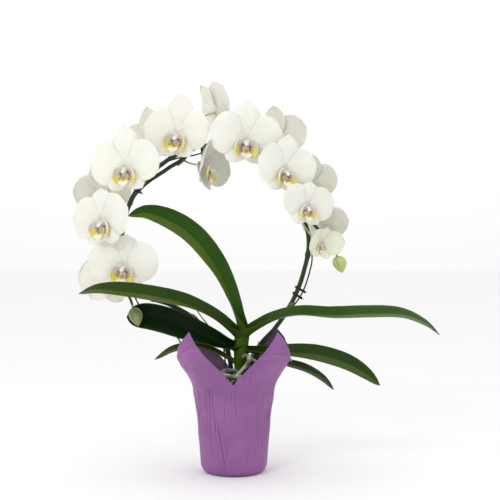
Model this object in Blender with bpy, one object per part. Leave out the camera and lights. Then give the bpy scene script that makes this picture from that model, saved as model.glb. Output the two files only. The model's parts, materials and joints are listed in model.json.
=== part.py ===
"""Potted moth orchid: two flower spikes tied to a wire hoop, in a nursery pot inside a paper pot cover.

Metres and +Z up in the scene; the sizes below are in millimetres and MM turns them into metres. The front of
the plant faces -Y. The origin is the middle of the flat bottom of the pot cover.
"""

import math

import bmesh
import bpy
from mathutils import Matrix, Vector
from mathutils.bvhtree import BVHTree

MM = 0.001
GAP = 0.35  # between pieces that touch
SHARP_ANGLE = math.radians(40)  # edges turning by more than this stay sharp

# Nursery pot and what fills it
POT_HEIGHT = 123.0
POT_RIM_RADIUS = 57.5
POT_BASE_RADIUS = 45.5
POT_WALL = 1.5
POT_CHAMFER = 3.0
POT_COLLAR = 10.0  # height of the thicker rim
POT_COLLAR_STEP = 2.2  # how far the rim stands out from the wall
MEDIUM_BELOW_RIM = 7.0
MEDIUM_MOUND = 13.0
STEM_FOOT = 0.95  # the slanting foot of a spike or the twig is centred this far above the medium
WIRE_FOOT = 0.75
ROOT_SEAT = 3.2  # the middle of a root lying on the medium, above it

# Paper cover with four pointed flaps
COVER_WALL = 0.8
COVER_CLEARANCE = 1.0  # between the pot and the paper
COVER_FOOT = 4.5  # height of the rounded bottom edge
COVER_ROUNDING = 3.2  # how much narrower the flat bottom is than the wall above it
COVER_EASE = 22.0  # the paper leaves the pot's wall this far below the collar
COVER_CREASE = 0.6  # the flat floor inside meets the wall by this much of a bevel
COVER_VALLEY_RISE = 7.0  # the lowest points of the upper edge, above the pot's rim
FLAP_HEIGHT = 75.5
FLAP_FLARE = 32.0  # how far the flaps lean out past the pot's rim
FLAP_CURL = 5.0  # how far the tips come back in
COVER_COLUMNS = 48
FLAPS = 4

# Crown
CROWN_X = 10.0
CROWN_Y = 0.0
CROWN_RADIUS = 7.0
CROWN_TOP_RADIUS = 4.6
CROWN_HEIGHT = 66.0  # above the medium
CROWN_OVERLAP = 0.08  # a leaf's foot reaches this share of the crown's height down it

# Hoop and spikes
HOOP_RADIUS = 133.0
HOOP_RISE = 210.0  # the middle of the hoop, above the pot's rim
HOOP_X = -29.0
WIRE_RADIUS = 1.1
SPIKE_RADIUS = 2.6
SPIKE_TIP_RADIUS = 1.3
TWIG_RADIUS = 1.1
LANE = SPIKE_RADIUS + WIRE_RADIUS + 2.5 * GAP  # a spike runs this far in front of, or behind, the wire
INNER_LANE = 9.0  # how far the stems stray from the circle near its top
CLIP_RADIUS = 0.8
CLIP_PLAY = GAP + 0.3  # between a clip and the stems in it
STEM_SAG = 0.15  # a stem's straight pieces stray this far from its curve
LEFT_BUD_WAY = Vector((0.3, -0.12, -0.93)).normalized()
RIGHT_BUD_WAY = Vector((0.3, -0.1, -0.93)).normalized()
BUD_NECK = 7.0  # the straight end of a spike above its bud

# Flowers
FLOWER_SPAN = 104.0
TABLE_SPAN = 104.0  # the span that the flowers' offsets are given for
TEPAL_THICKNESS = 1.1
PEDICEL_RADIUS = 1.25
LIP_WIDTH, LIP_HEIGHT, LIP_DEPTH = 0.25, 0.25, 0.13  # shares of a flower's span
LIP_DROP = 0.11  # how far the middle of the lip hangs below the middle of the flower, same share

# Leaves
LEAF_THICKNESS = 1.6
LEAF_FOLD = math.radians(20)

COVER_FLOOR = COVER_WALL
POT_FLOOR = COVER_FLOOR + GAP
ROOM = POT_RIM_RADIUS / 57.5  # places inside the pot's mouth are given for a rim of 57.5
ROOM_FADE = 130.0  # this far above the rim the pot's width no longer moves the stems
POT_TOP = POT_FLOOR + POT_HEIGHT
HOOP_Z = POT_TOP + HOOP_RISE


def make_material(name, colour, roughness, metallic=0.0):
    material = bpy.data.materials.new(name)
    material.use_nodes = True
    shader = material.node_tree.nodes["Principled BSDF"]
    shader.inputs["Base Color"].default_value = (*colour, 1.0)
    shader.inputs["Roughness"].default_value = roughness
    shader.inputs["Metallic"].default_value = metallic
    return material


def add_object(name, points, faces, material):
    """One closed body from points in millimetres."""
    mesh = bpy.data.meshes.new(name)
    mesh.from_pydata([tuple(Vector(p) * MM) for p in points], [], faces)
    body = bmesh.new()
    body.from_mesh(mesh)
    bmesh.ops.recalc_face_normals(body, faces=body.faces)
    body.to_mesh(mesh)
    body.free()
    mesh.shade_smooth()
    mesh.set_sharp_from_angle(angle=SHARP_ANGLE)
    mesh.materials.append(material)
    placed = bpy.data.objects.new(name, mesh)
    bpy.context.scene.collection.objects.link(placed)
    return placed


def blend(points, x):
    """The value at x on straight lines through (x, value) points."""
    if x <= points[0][0]:
        return points[0][1]
    for (x0, y0), (x1, y1) in zip(points, points[1:]):
        if x <= x1:
            t = (x - x0) / (x1 - x0)
            return y0 + (y1 - y0) * t
    return points[-1][1]


def smooth_route(points, step):
    """Points about `step` apart on a Catmull-Rom curve through the given points."""
    points = [Vector(p) for p in points]
    padded = [2 * points[0] - points[1], *points, 2 * points[-1] - points[-2]]
    route = []
    for a, b, c, d in zip(padded, padded[1:], padded[2:], padded[3:]):
        count = max(1, round((c - b).length / step))
        for i in range(count):
            t = i / count
            bend = (2 * a - 5 * b + 4 * c - d) * t**2 + (3 * b - a - 3 * c + d) * t**3
            route.append(0.5 * (2 * b + (c - a) * t + bend))
    return [*route, points[-1]]


def tangents(route):
    ends = [route[0], *route, route[-1]]
    return [(after - before).normalized() for before, after in zip(ends, ends[2:])]


def tube(route, radii, sides):
    """Points and faces of a capped tube; `radii` is one radius or one for each point."""
    if not isinstance(radii, list):
        radii = [radii] * len(route)
    points, faces, side = [], [], None
    for place, along, radius in zip(route, tangents(route), radii):
        start = side if side else Vector((0.3, 1.0, 0.2))
        side = (start - along * start.dot(along)).normalized()
        up = along.cross(side)
        for k in range(sides):
            turn = math.tau * k / sides
            points.append(place + radius * (math.cos(turn) * side + math.sin(turn) * up))
    for i in range(len(route) - 1):
        for k in range(sides):
            a, b = i * sides + k, i * sides + (k + 1) % sides
            faces.append((a, b, b + sides, a + sides))
    faces.append(tuple(range(sides)))
    faces.append(tuple(range(len(points) - sides, len(points))))
    return points, faces


def revolve(profile, count):
    """A solid turned about +Z from (radius, height) points that start and end on the axis."""
    points, rings, faces = [], [], []
    for radius, height in profile:
        if radius == 0:
            points.append((0, 0, height))
            rings.append([len(points) - 1] * count)
            continue
        rings.append(list(range(len(points), len(points) + count)))
        for k in range(count):
            turn = math.tau * k / count
            points.append((radius * math.cos(turn), radius * math.sin(turn), height))
    for low, high in zip(rings, rings[1:]):
        for k in range(count):
            following = (k + 1) % count
            corners = [low[k], low[following], high[following], high[k]]
            faces.append(tuple(dict.fromkeys(corners)))
    return points, faces


# --- pot, medium and cover ---


def pot_radius(height):
    """The outer radius of the pot's wall at a height above the cover's floor."""
    share = min(1.0, max(0.0, (height - POT_FLOOR) / POT_HEIGHT))
    return POT_BASE_RADIUS + (POT_RIM_RADIUS - POT_COLLAR_STEP - POT_BASE_RADIUS) * share


def add_nursery_pot(material):
    collar_floor = POT_TOP - POT_COLLAR
    profile = [
        (0, POT_FLOOR),
        (POT_BASE_RADIUS - POT_CHAMFER, POT_FLOOR),
        (pot_radius(POT_FLOOR + POT_CHAMFER), POT_FLOOR + POT_CHAMFER),
        (pot_radius(collar_floor), collar_floor),
        (POT_RIM_RADIUS, collar_floor + 1),
        (POT_RIM_RADIUS, POT_TOP),
        (POT_RIM_RADIUS - POT_WALL, POT_TOP),
        (pot_radius(collar_floor) - POT_WALL, collar_floor - 1),
        (POT_BASE_RADIUS - POT_CHAMFER - POT_WALL / 2, POT_FLOOR + POT_WALL),
        (0, POT_FLOOR + POT_WALL),
    ]
    add_object("nursery_pot", *revolve(profile, 36), material)


def medium_radius(height):
    return pot_radius(height) - POT_WALL - GAP


def medium_top(x, y):
    edge = medium_radius(POT_TOP - MEDIUM_BELOW_RIM)
    share = min(1.0, math.hypot(x, y) / edge)
    return POT_TOP - MEDIUM_BELOW_RIM + MEDIUM_MOUND * (1 - share * share)


def add_growing_medium(material):
    floor = POT_FLOOR + POT_WALL + GAP
    edge_height = POT_TOP - POT_COLLAR - 1
    edge = medium_radius(POT_TOP - MEDIUM_BELOW_RIM)
    foot = medium_radius(floor) - POT_CHAMFER
    profile = [(0, floor), (foot, floor), (medium_radius(edge_height) - 0.2, edge_height)]
    for share in (1.0, 0.8, 0.6, 0.4, 0.2):
        profile.append((edge * share, medium_top(edge * share, 0)))
    profile.append((0, medium_top(0, 0)))
    add_object("growing_medium", *revolve(profile, 28), material)


def cover_radius(height):
    """The outer radius of the paper at a height."""
    valley = POT_TOP + COVER_VALLEY_RISE
    hug = pot_radius(height) + COVER_CLEARANCE + COVER_WALL
    rim = POT_RIM_RADIUS + COVER_CLEARANCE + COVER_WALL
    collar_floor = POT_TOP - POT_COLLAR
    if height <= COVER_FOOT:
        share = height / COVER_FOOT
        return hug - COVER_ROUNDING * (1 - math.sqrt(share * (2 - share)))
    ease = COVER_EASE
    if height < collar_floor - ease:
        return hug
    if height < collar_floor:
        start = pot_radius(collar_floor - ease) + COVER_CLEARANCE + COVER_WALL
        return start + (rim - start) * (height - collar_floor + ease) / ease
    if height <= valley - 2:
        return rim
    share = (height - valley + 2) / (FLAP_HEIGHT + 2)
    flare = [(0, 0), (0.08, 0.13), (0.23, 0.42), (0.42, 0.76), (0.6, 1.0), (0.8, 0.98)]
    flare.append((1.0, 1 - FLAP_CURL / FLAP_FLARE))
    return rim + FLAP_FLARE * blend(flare, share)


def cover_top(turn):
    """The height of the paper's upper edge: straight edges between four tips and four valleys."""
    half = math.pi / FLAPS
    from_tip = abs((turn % (2 * half)) - half) / half
    return POT_TOP + COVER_VALLEY_RISE + max(1.5, FLAP_HEIGHT * (1 - from_tip))


def add_pot_cover(material):
    valley = POT_TOP + COVER_VALLEY_RISE
    body = [0.0, COVER_FOOT / 4, COVER_FOOT, POT_TOP * 0.3, POT_TOP * 0.55]
    body += [POT_TOP - POT_COLLAR - COVER_EASE, POT_TOP - POT_COLLAR, valley - 2]
    flap_rows = [0.0, 0.15, 0.33, 0.52, 0.75, 1.0]
    points, faces = [], []
    rows = len(body) + len(flap_rows)

    def wall(inset):
        first = len(points)
        for k in range(COVER_COLUMNS):
            turn = math.tau * k / COVER_COLUMNS
            top = cover_top(turn)
            heights = body + [valley + (top - valley) * share for share in flap_rows]
            for i, height in enumerate(heights):
                radius = cover_radius(height) - inset
                if inset and i < 2:
                    height = COVER_FLOOR + COVER_CREASE * i
                    radius = cover_radius(height) - inset
                points.append((radius * math.cos(turn), radius * math.sin(turn), height))
        return first

    outer, inner = wall(0.0), wall(COVER_WALL)
    for k in range(COVER_COLUMNS):
        here, there = k * rows, ((k + 1) % COVER_COLUMNS) * rows
        for first in (outer, inner):
            for i in range(rows - 1):
                a, b = first + here + i, first + there + i
                faces.append((a, b, b + 1, a + 1))
        top = rows - 1
        faces.append((outer + here + top, outer + there + top, inner + there + top, inner + here + top))
    for first in (outer, inner):
        faces.append(tuple(first + k * rows for k in range(COVER_COLUMNS)))
    add_object("pot_cover", points, faces, material)


# --- leaves, crown and roots ---


def crown_z(share):
    """A height on the crown stem: 0 at its foot, 1 at its top."""
    return medium_top(CROWN_X - CROWN_RADIUS, 0) + GAP + CROWN_HEIGHT * share


def crown_radius(share):
    return CROWN_RADIUS + (CROWN_TOP_RADIUS - CROWN_RADIUS) * share


def add_crown_stem(material):
    shares = [i / 6 for i in range(7)]
    route = [Vector((CROWN_X, CROWN_Y, crown_z(share))) for share in shares]
    add_object("crown_stem", *tube(route, [crown_radius(share) for share in shares], 12), material)


# name, height on the crown, way (x, y) out of the crown, length, half width, the midrib's course as
# (along, up, forward) shares of the length from the leaf's foot, and the turn of the blade at foot and
# tip in degrees
LEAVES = [
    ("leaf_1", 1.0, (-0.1, 0.0), 250, 20.5,
     [(0, 0, 0), (0.03, 0.15, -0.01), (0.085, 0.3, -0.02), (0.165, 0.445, -0.025), (0.27, 0.57, -0.01),
      (0.4, 0.66, 0.01), (0.53, 0.705, 0.035), (0.64, 0.685, 0.055)], 34, 40),
    ("leaf_2", 0.9, (-1.0, -0.5), 262, 20.0,
     [(0, 0, 0), (0.12, 0.12, 0.05), (0.27, 0.2, 0.1), (0.43, 0.245, 0.155), (0.6, 0.275, 0.19),
      (0.74, 0.287, 0.205), (0.84, 0.265, 0.205)], 55, 62),
    ("leaf_3", 0.62, (-1.0, -0.15), 172, 21.0,
     [(0, 0, 0), (0.17, 0.1, 0.02), (0.36, 0.19, 0.025), (0.56, 0.275, 0.015), (0.73, 0.325, 0.005),
      (0.88, 0.325, -0.005)], 22, 15),
    ("leaf_4", 0.9, (1.0, -0.55), 300, 19.5,
     [(0, 0, 0), (0.08, 0.065, 0.035), (0.17, 0.11, 0.06), (0.27, 0.128, 0.075), (0.41, 0.122, 0.085),
      (0.575, 0.13, 0.095), (0.74, 0.128, 0.1), (0.85, 0.09, 0.105), (0.92, 0.035, 0.11)], 62, 68),
    ("leaf_5", 0.62, (1.0, 0.0), 215, 15.5,
     [(0, 0, 0), (0.17, 0.0, 0.0), (0.32, 0.0, -0.02), (0.5, -0.02, -0.05), (0.68, -0.075, -0.07),
      (0.82, -0.15, -0.08), (0.92, -0.235, -0.08)], 35, 40),
    ("leaf_6", 0.34, (1.0, -0.2), 150, 11.0,
     [(0, 0, 0), (0.2, 0.03, 0.0), (0.4, 0.01, 0.0), (0.58, -0.045, -0.04), (0.74, -0.13, -0.08),
      (0.86, -0.25, -0.1)], 60, 60),
    ("leaf_7", 0.34, (-1.0, -0.3), 135, 8.5,
     [(0, 0, 0), (0.2, 0.13, 0.0), (0.4, 0.2, -0.01), (0.58, 0.19, -0.015), (0.72, 0.15, -0.02),
      (0.88, 0.06, -0.03)], 55, 55),
]
LEAF_STATIONS = 12


def leaf_half_width(share, widest):
    """The half width of a blade: a narrow foot, parallel middle and rounded tip."""
    outline = [(0, 0.25), (0.12, 0.36), (0.3, 0.72), (0.5, 0.97)]
    outline += [(0.65, 1.0), (0.8, 0.9), (0.92, 0.6), (1, 0.12)]
    return widest * blend(outline, share)


def leaf_frames(way, foot, length, course):
    """Places along the midrib, each with the direction along it and the way its upper side faces if level."""
    side = 1 if way[0] > 0 else -1
    places = [foot + length * Vector((side * a, -f, u)) for a, u, f in course]
    route = smooth_route(places, length / (3 * LEAF_STATIONS))
    picks = [route[round(i * (len(route) - 1) / LEAF_STATIONS)] for i in range(LEAF_STATIONS + 1)]
    return [(p, t, Vector((-side * t.z, 0, side * t.x))) for p, t in zip(picks, tangents(picks))]


def add_leaf(leaf, material):
    name, share, way, length, widest, course, foot_turn, tip_turn = leaf
    out = Vector((way[0], way[1], 0))
    foot = Vector((CROWN_X, CROWN_Y, crown_z(share)))
    foot += out.normalized() * crown_radius(share) if share < 1 else Vector((0, 0, GAP + LEAF_THICKNESS / 2))
    points, faces = [], []
    frames = leaf_frames(way, foot, length, course)
    for i, (place, along, above) in enumerate(frames):
        s = i / LEAF_STATIONS
        turn = math.radians(foot_turn + (tip_turn - foot_turn) * s)
        normal = math.cos(turn) * Vector((0, -1, 0)) + math.sin(turn) * above
        normal = (normal - along * normal.dot(along)).normalized()
        across = along.cross(normal)
        half = leaf_half_width(s, widest)
        for edge in (-1, 0, 1):
            middle = place + across * edge * half * math.cos(LEAF_FOLD)
            middle += normal * abs(edge) * half * math.sin(LEAF_FOLD)
            thick = LEAF_THICKNESS * (1.0 if edge == 0 else 0.5)
            points.append(middle + normal * thick / 2)
            points.append(middle - normal * thick / 2)
    ring = [0, 2, 4, 5, 3, 1]
    for i in range(LEAF_STATIONS):
        for a, b in zip(ring, ring[1:] + ring[:1]):
            faces.append((6 * i + a, 6 * i + b, 6 * i + 6 + b, 6 * i + 6 + a))
    for first in (0, 6 * LEAF_STATIONS):
        faces += [tuple(first + k for k in (0, 2, 3, 1)), tuple(first + k for k in (2, 4, 5, 3))]
    if share < 1:
        clear_of_crown(points, out.normalized(), crown_radius(share - CROWN_OVERLAP) + GAP)
    add_object(name, points, faces, material)


def clear_of_crown(points, out, reach):
    """Moves a leaf outwards until its foot stands clear of the crown stem."""
    axis = Vector((CROWN_X, CROWN_Y, 0))
    foot = range(12)
    shift = 0.0
    while min((points[i] + out * shift - axis).xy.length for i in foot) < reach:
        shift += 0.05
    for i, place in enumerate(points):
        points[i] = place + out * shift


# name, radius at the foot, the way out of the crown in degrees and the height on it, then places given as
# (x, y) from the pot's axis and the height above the medium there
ROOTS = [
    ("root_1", 2.5, -65, 0.55,
     [(22, -22, 42), (19, -34, 35), (6, -41, 22), (-3, -40, 9), (-6, -38, ROOT_SEAT)]),
    ("root_2", 2.3, 225, 0.22,
     [(-10, -20, 20), (-17, -34, 21), (-4, -45, 22), (14, -47, 21), (30, -41, ROOT_SEAT)]),
    ("root_3", 2.2, -95, 0.12, [(8, -24, 8), (6, -44, 13), (8, -57, 24), (9.5, -68, 28)]),
    ("root_4", 2.3, -20, 0.45, [(28, -16, 36), (36, -22, 32), (41, -24, 16), (42, -24, ROOT_SEAT)]),
    ("root_5", 2.2, -12, 0.12, [(36, -8, 19), (54, -13, 30), (68, -15, 44), (77, -16, 50), (83, -16, 43)]),
]


def add_root(root, material):
    name, radius, degrees, share, places = root
    turn = math.radians(degrees)
    out = Vector((math.cos(turn), math.sin(turn), 0))
    crown = Vector((CROWN_X, CROWN_Y, crown_z(share)))
    reach = crown_radius(share) + GAP + 0.1
    places = [Vector((x * ROOM, y * ROOM, medium_top(x * ROOM, y * ROOM) + h)) for x, y, h in places]
    route = smooth_route([crown + out * reach, crown + out * (reach + 3), *places], 7.0)
    last = len(route) - 1
    radii = [radius * (1 - 0.3 * i / last) for i in range(last + 1)]
    radii[-1] *= 0.5
    add_object(name, *tube(route, radii, 8), material)


# --- hoop, spikes and clips ---


def on_hoop(degrees, out=0.0, y=0.0):
    """A place by its angle round the hoop, from +X through +Z, its distance outside the hoop, and depth."""
    turn = math.radians(degrees)
    reach = HOOP_RADIUS + out
    return Vector((HOOP_X + reach * math.cos(turn), y, HOOP_Z + reach * math.sin(turn)))


def above_pot(x, y, height):
    """A place by its height above the rim. Low down it follows the pot's width."""
    follow = 1 + (ROOM - 1) * max(0.0, 1 - height / ROOM_FADE)
    return Vector((x * follow, y, POT_TOP + height))


def on_medium(x, y, rise):
    return Vector((x * ROOM, y, medium_top(x * ROOM, y) + rise))


def wire_route():
    right = [above_pot(34, 10, 36), above_pot(48, 8, 66), above_pot(68, 6, 92)]
    left = [above_pot(-84, 12, 69), above_pot(-74, 13, 50), above_pot(-58, 14, 24)]
    route = [on_medium(30, 10, WIRE_FOOT), *right]
    route += [on_hoop(319, 17, 4), on_hoop(330, 16, 3), on_hoop(343, 13, 1.5)]
    route += [on_hoop(351, 11, 0.8), on_hoop(2, 5, 0)]
    route += [on_hoop(degrees, wire_lane(degrees)) for degrees in range(14, 165, 6)]
    route += [on_hoop(172, 0, 1.0), on_hoop(180, 0, 3.5), on_hoop(190, 2, 6), on_hoop(199, 4, 7.5)]
    route += [on_hoop(215, 9, 9.5), on_hoop(223, 12, 10), on_hoop(236, 14, 11.5), *left]
    return [*route, on_medium(-44, 15, WIRE_FOOT)]


def back_lane(degrees):
    lane = [(60, 0), (78, 0.5), (101, 0.5), (106, 0), (112, -0.9), (128, -1), (150, 0)]
    return INNER_LANE * blend(lane, degrees)


def front_lane(degrees):
    return INNER_LANE * blend([(60, 0), (80, 0.4), (100, 0.5), (112, 0.2), (125, 0)], degrees)


def wire_lane(degrees):
    return INNER_LANE * blend([(80, 0), (95, -0.5), (103, -0.75), (112, -0.4), (122, 0)], degrees)


def back_spike_route():
    """Up the right side, over the top behind the wire, and down to the bud at the lower left."""
    route = [on_medium(24, 16, STEM_FOOT), above_pot(30, 18, 36), above_pot(41, 19, 60)]
    route += [above_pot(59, 17, 80), above_pot(79, 12, 109), on_hoop(331, 8, 8.5), on_hoop(342, 5, 6.5)]
    route += [on_hoop(353, 5, 5.6), on_hoop(4, 4, 5.2)]
    route += [on_hoop(degrees, back_lane(degrees), LANE) for degrees in range(16, 167, 5)]
    route += [on_hoop(173, 2, LANE + 0.4), on_hoop(181, 6, LANE + 0.8)]
    route += [on_hoop(188, 11, 4.5), on_hoop(194, 13, 1.0)]
    route += [on_hoop(202, 13, -2), on_hoop(210, 13, -8), on_hoop(216, 14, -14)]
    return [*route, route[-1] + BUD_NECK * LEFT_BUD_WAY]


def front_spike_route():
    """Up the left side, over the top in front of the wire, and down to the bud at the right."""
    route = [on_medium(-4, 13, STEM_FOOT), above_pot(-6, 13, 34), above_pot(-14, 13, 58)]
    route += [above_pot(-35, 12, 75), above_pot(-60, 11, 97), above_pot(-93, 8, 116), on_hoop(222, -8, 5.5)]
    route += [on_hoop(209, 2, 3), on_hoop(198, 3, 1.6), on_hoop(189, 1, 0.6), on_hoop(181, 0, -1.6)]
    route += [on_hoop(173, 0, -4.0)]
    route += [on_hoop(degrees, front_lane(degrees), -LANE) for degrees in range(164, 23, -5)]
    route += [on_hoop(15, 5, -LANE), on_hoop(8, 15, -5), on_hoop(2, 28, -5), on_hoop(356.5, 41, -5)]
    return [*route, route[-1] + BUD_NECK * RIGHT_BUD_WAY]


def twig_route():
    route = [on_medium(-12, 20, STEM_FOOT), above_pot(-16, 20, 52), above_pot(-33, 19, 78)]
    return [*route, above_pot(-52, 18, 103), above_pot(-63, 18, 123)]


def nearest(route, place):
    return min(route, key=lambda p: (p - place).length)


def add_spikes(material):
    """The two spikes, each tapering to its tip. Returns their routes."""
    routes = {}
    for name, places in (("back_spike", back_spike_route()), ("front_spike", front_spike_route())):
        route = smooth_route(places, 9.0)
        last = len(route) - 1
        radii = []
        for i in range(last + 1):
            taper = blend([(0, 0), (0.6, 0.15), (0.93, 0.7), (1, 1)], i / last)
            radii.append(SPIKE_RADIUS + (SPIKE_TIP_RADIUS - SPIKE_RADIUS) * taper)
        add_object(name, *tube(route, radii, 8), material)
        routes[name] = (smooth_route(places, 2.0), route, radii)
    return routes


def add_ring(name, middle, long_axis, short_axis, material):
    """A closed ring of wire, an oval with full corners."""
    points, faces = [], []
    around, sides = 16, 5
    for i in range(around):
        turn = math.tau * i / around
        wide, high = (math.copysign(math.sqrt(abs(part)), part) for part in (math.cos(turn), math.sin(turn)))
        place = middle + wide * long_axis + high * short_axis
        out = math.cos(turn) * long_axis.normalized() + math.sin(turn) * short_axis.normalized()
        axis = long_axis.cross(short_axis).normalized()
        for k in range(sides):
            roll = math.tau * k / sides
            points.append(place + CLIP_RADIUS * (math.cos(roll) * out + math.sin(roll) * axis))
    for i in range(around):
        following = (i + 1) % around
        for k in range(sides):
            here, there, beside = i * sides, following * sides, (k + 1) % sides
            faces.append((here + k, there + k, there + beside, here + beside))
    add_object(name, points, faces, material)


def add_clips(routes, material):
    """Clips that hold the spikes to the wire: two at the right, one at the left and one near the top."""
    wire = smooth_route(wire_route(), 2.0)
    back = routes["back_spike"][0]
    for name, degrees in (("clip_right_lower", 326.5), ("clip_right_upper", 330.5)):
        one, two = nearest(back, on_hoop(degrees, 8, 7)), nearest(wire, on_hoop(degrees, 16, 3))
        apart = two - one
        along = Vector((-math.sin(math.radians(degrees)), 0, math.cos(math.radians(degrees))))
        apart -= along * apart.dot(along)
        middle = one + apart * 0.5 + apart.normalized() * (WIRE_RADIUS - SPIKE_RADIUS) / 2
        play = CLIP_RADIUS + CLIP_PLAY + STEM_SAG
        long_half = apart.length / 2 + (SPIKE_RADIUS + WIRE_RADIUS) / 2 + play
        short_half = SPIKE_RADIUS + play
        long_axis = apart.normalized() * long_half
        add_ring(name, middle, long_axis, apart.cross(along).normalized() * short_half, material)
    for name, degrees in (("clip_left", 147), ("clip_top", 97.5)):
        turn = math.radians(degrees)
        outward = Vector((math.cos(turn), 0, math.sin(turn)))
        outs = [front_lane(degrees), back_lane(degrees), wire_lane(degrees) - SPIKE_RADIUS]
        low, high = min(outs), max(outs)
        middle = on_hoop(degrees, (low + high) / 2, 0)
        long_half = (high - low) / 2 + SPIKE_RADIUS + CLIP_RADIUS + CLIP_PLAY
        short_half = LANE + SPIKE_RADIUS + CLIP_RADIUS + CLIP_PLAY
        add_ring(name, middle, outward * long_half, Vector((0, 1, 0)) * short_half, material)


# --- flowers and buds ---

# name, angle round the hoop, distance outside it, depth, share of FLOWER_SPAN, yaw (0 faces -Y, positive
# turns to +X), pitch (positive faces up), roll, cup, spike, and where the stalk leaves the spike
FLOWERS = [
    ("flower_01", 196, 0, -25, 1, -8, 2, -3, 0.1, "front_spike", 189),
    ("flower_02", 168, 26, -30, 0.98, -30, 0, 4, 0.12, "front_spike", 170),
    ("flower_03", 140, 30, -37, 0.98, -16, 0, 4, 0.12, "front_spike", 146),
    ("flower_04", 108, 26, -24, 0.97, -20, 4, -4, 0.12, "front_spike", 118),
    ("flower_05", 72, 17, -40, 1, 12, 2, -4, 0.12, "front_spike", 84),
    ("flower_06", 45, 7, -46, 0.94, 30, 0, -8, 0.12, "front_spike", 60),
    ("flower_07", 20, 9, -40, 0.82, 26, -2, -8, 0.14, "front_spike", 40),
    ("flower_08", 0, 25, -24, 0.6, 34, -14, -4, 0.6, "front_spike", 16),
    ("flower_09", 98, -33, -20, 0.8, 68, -6, -20, 1, "back_spike", 112),
    ("flower_10", 197, 37, 38, 0.92, 172, -6, 6, 0.12, "back_spike", 183),
    ("flower_11", 157, 49, 38, 0.95, 200, 6, -10, 0.12, "back_spike", 164),
    ("flower_12", 123, 44, 40, 0.9, 184, 4, 3, 0.12, "back_spike", 135),
    ("flower_13", 89, 58, 38, 0.97, 118, 8, -25, 0.12, "back_spike", 104),
    ("flower_14", 57, 48, 40, 0.95, 150, 6, -8, 0.12, "back_spike", 72),
    ("flower_15", 33, 39, 38, 0.9, 150, 4, 10, 0.12, "back_spike", 46),
    ("flower_16", 10, 33, 36, 0.85, 152, 0, 8, 0.14, "back_spike", 24),
]
# angle, length, width, distance from the middle to the widest place, all but the angle as shares of the span
TEPALS = [(90, 0.51, 0.31), (15, 0.51, 0.54), (165, 0.51, 0.54), (-55, 0.39, 0.3), (-125, 0.39, 0.3)]
SPOKES = 30
STALK_SIDES = 6
FLOWER_STEPS = 60  # how many millimetres a crowded flower may move out


def tepal_reach(degrees):
    """The distance from a flower's middle to its outline, as a share of its span."""
    reach = 0.13
    for middle, length, width in TEPALS:
        turn = math.radians(degrees - middle)
        along, across = length * 0.46, width / 2
        start = length - along
        a = (math.cos(turn) / along) ** 2 + (math.sin(turn) / across) ** 2
        b = -2 * math.cos(turn) * start / along**2
        c = (start / along) ** 2 - 1
        inside = b * b - 4 * a * c
        if inside > 0 and math.cos(turn) > 0:
            reach = max(reach, (-b + math.sqrt(inside)) / (2 * a))
    return reach


def flower_frame(flower):
    """A flower's matrix: local X to its right, Y up and Z out of its face."""
    _, degrees, out, depth, _, yaw, pitch, roll = flower[:8]
    face = Matrix(((1, 0, 0, 0), (0, 0, -1, 0), (0, 1, 0, 0), (0, 0, 0, 1)))
    turn = Matrix.Rotation(math.radians(yaw), 4, "Z") @ face
    turn = turn @ Matrix.Rotation(math.radians(-pitch), 4, "X") @ Matrix.Rotation(math.radians(roll), 4, "Z")
    follow = FLOWER_SPAN / TABLE_SPAN if out < 0 else 1.0  # inward flowers step off with their size
    return Matrix.Translation(on_hoop(degrees, out * follow, depth)) @ turn


def stalk_route(frame, spike, degrees):
    """From the back of a flower to the spike's surface."""
    back = frame @ Vector((0, 0, -TEPAL_THICKNESS / 2))
    facing = frame.to_3x3() @ Vector((0, 0, 1))
    fine, route, radii = spike
    seat = nearest(fine, on_hoop(degrees))
    along = tangents(fine)[fine.index(seat)]
    radius = radii[route.index(nearest(route, seat))]
    lead = back - facing * 0.4 * (back - seat).length
    out = lead - seat
    out = (out - along * out.dot(along)).normalized()
    foot = seat + out * (radius + GAP + 0.1)
    knee = foot + out * 0.3 * (lead - foot).length
    places = []
    for i in range(7):
        t = i / 6
        places.append(
            (1 - t) ** 3 * back + 3 * t * (1 - t) ** 2 * lead + 3 * t * t * (1 - t) * knee + t**3 * foot
        )
    return places, out


def tepal_depth(x, y, span, cup):
    """How far forward the tepals stand at a place on the flower."""
    return cup * (x * x + y * y) / span


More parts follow.
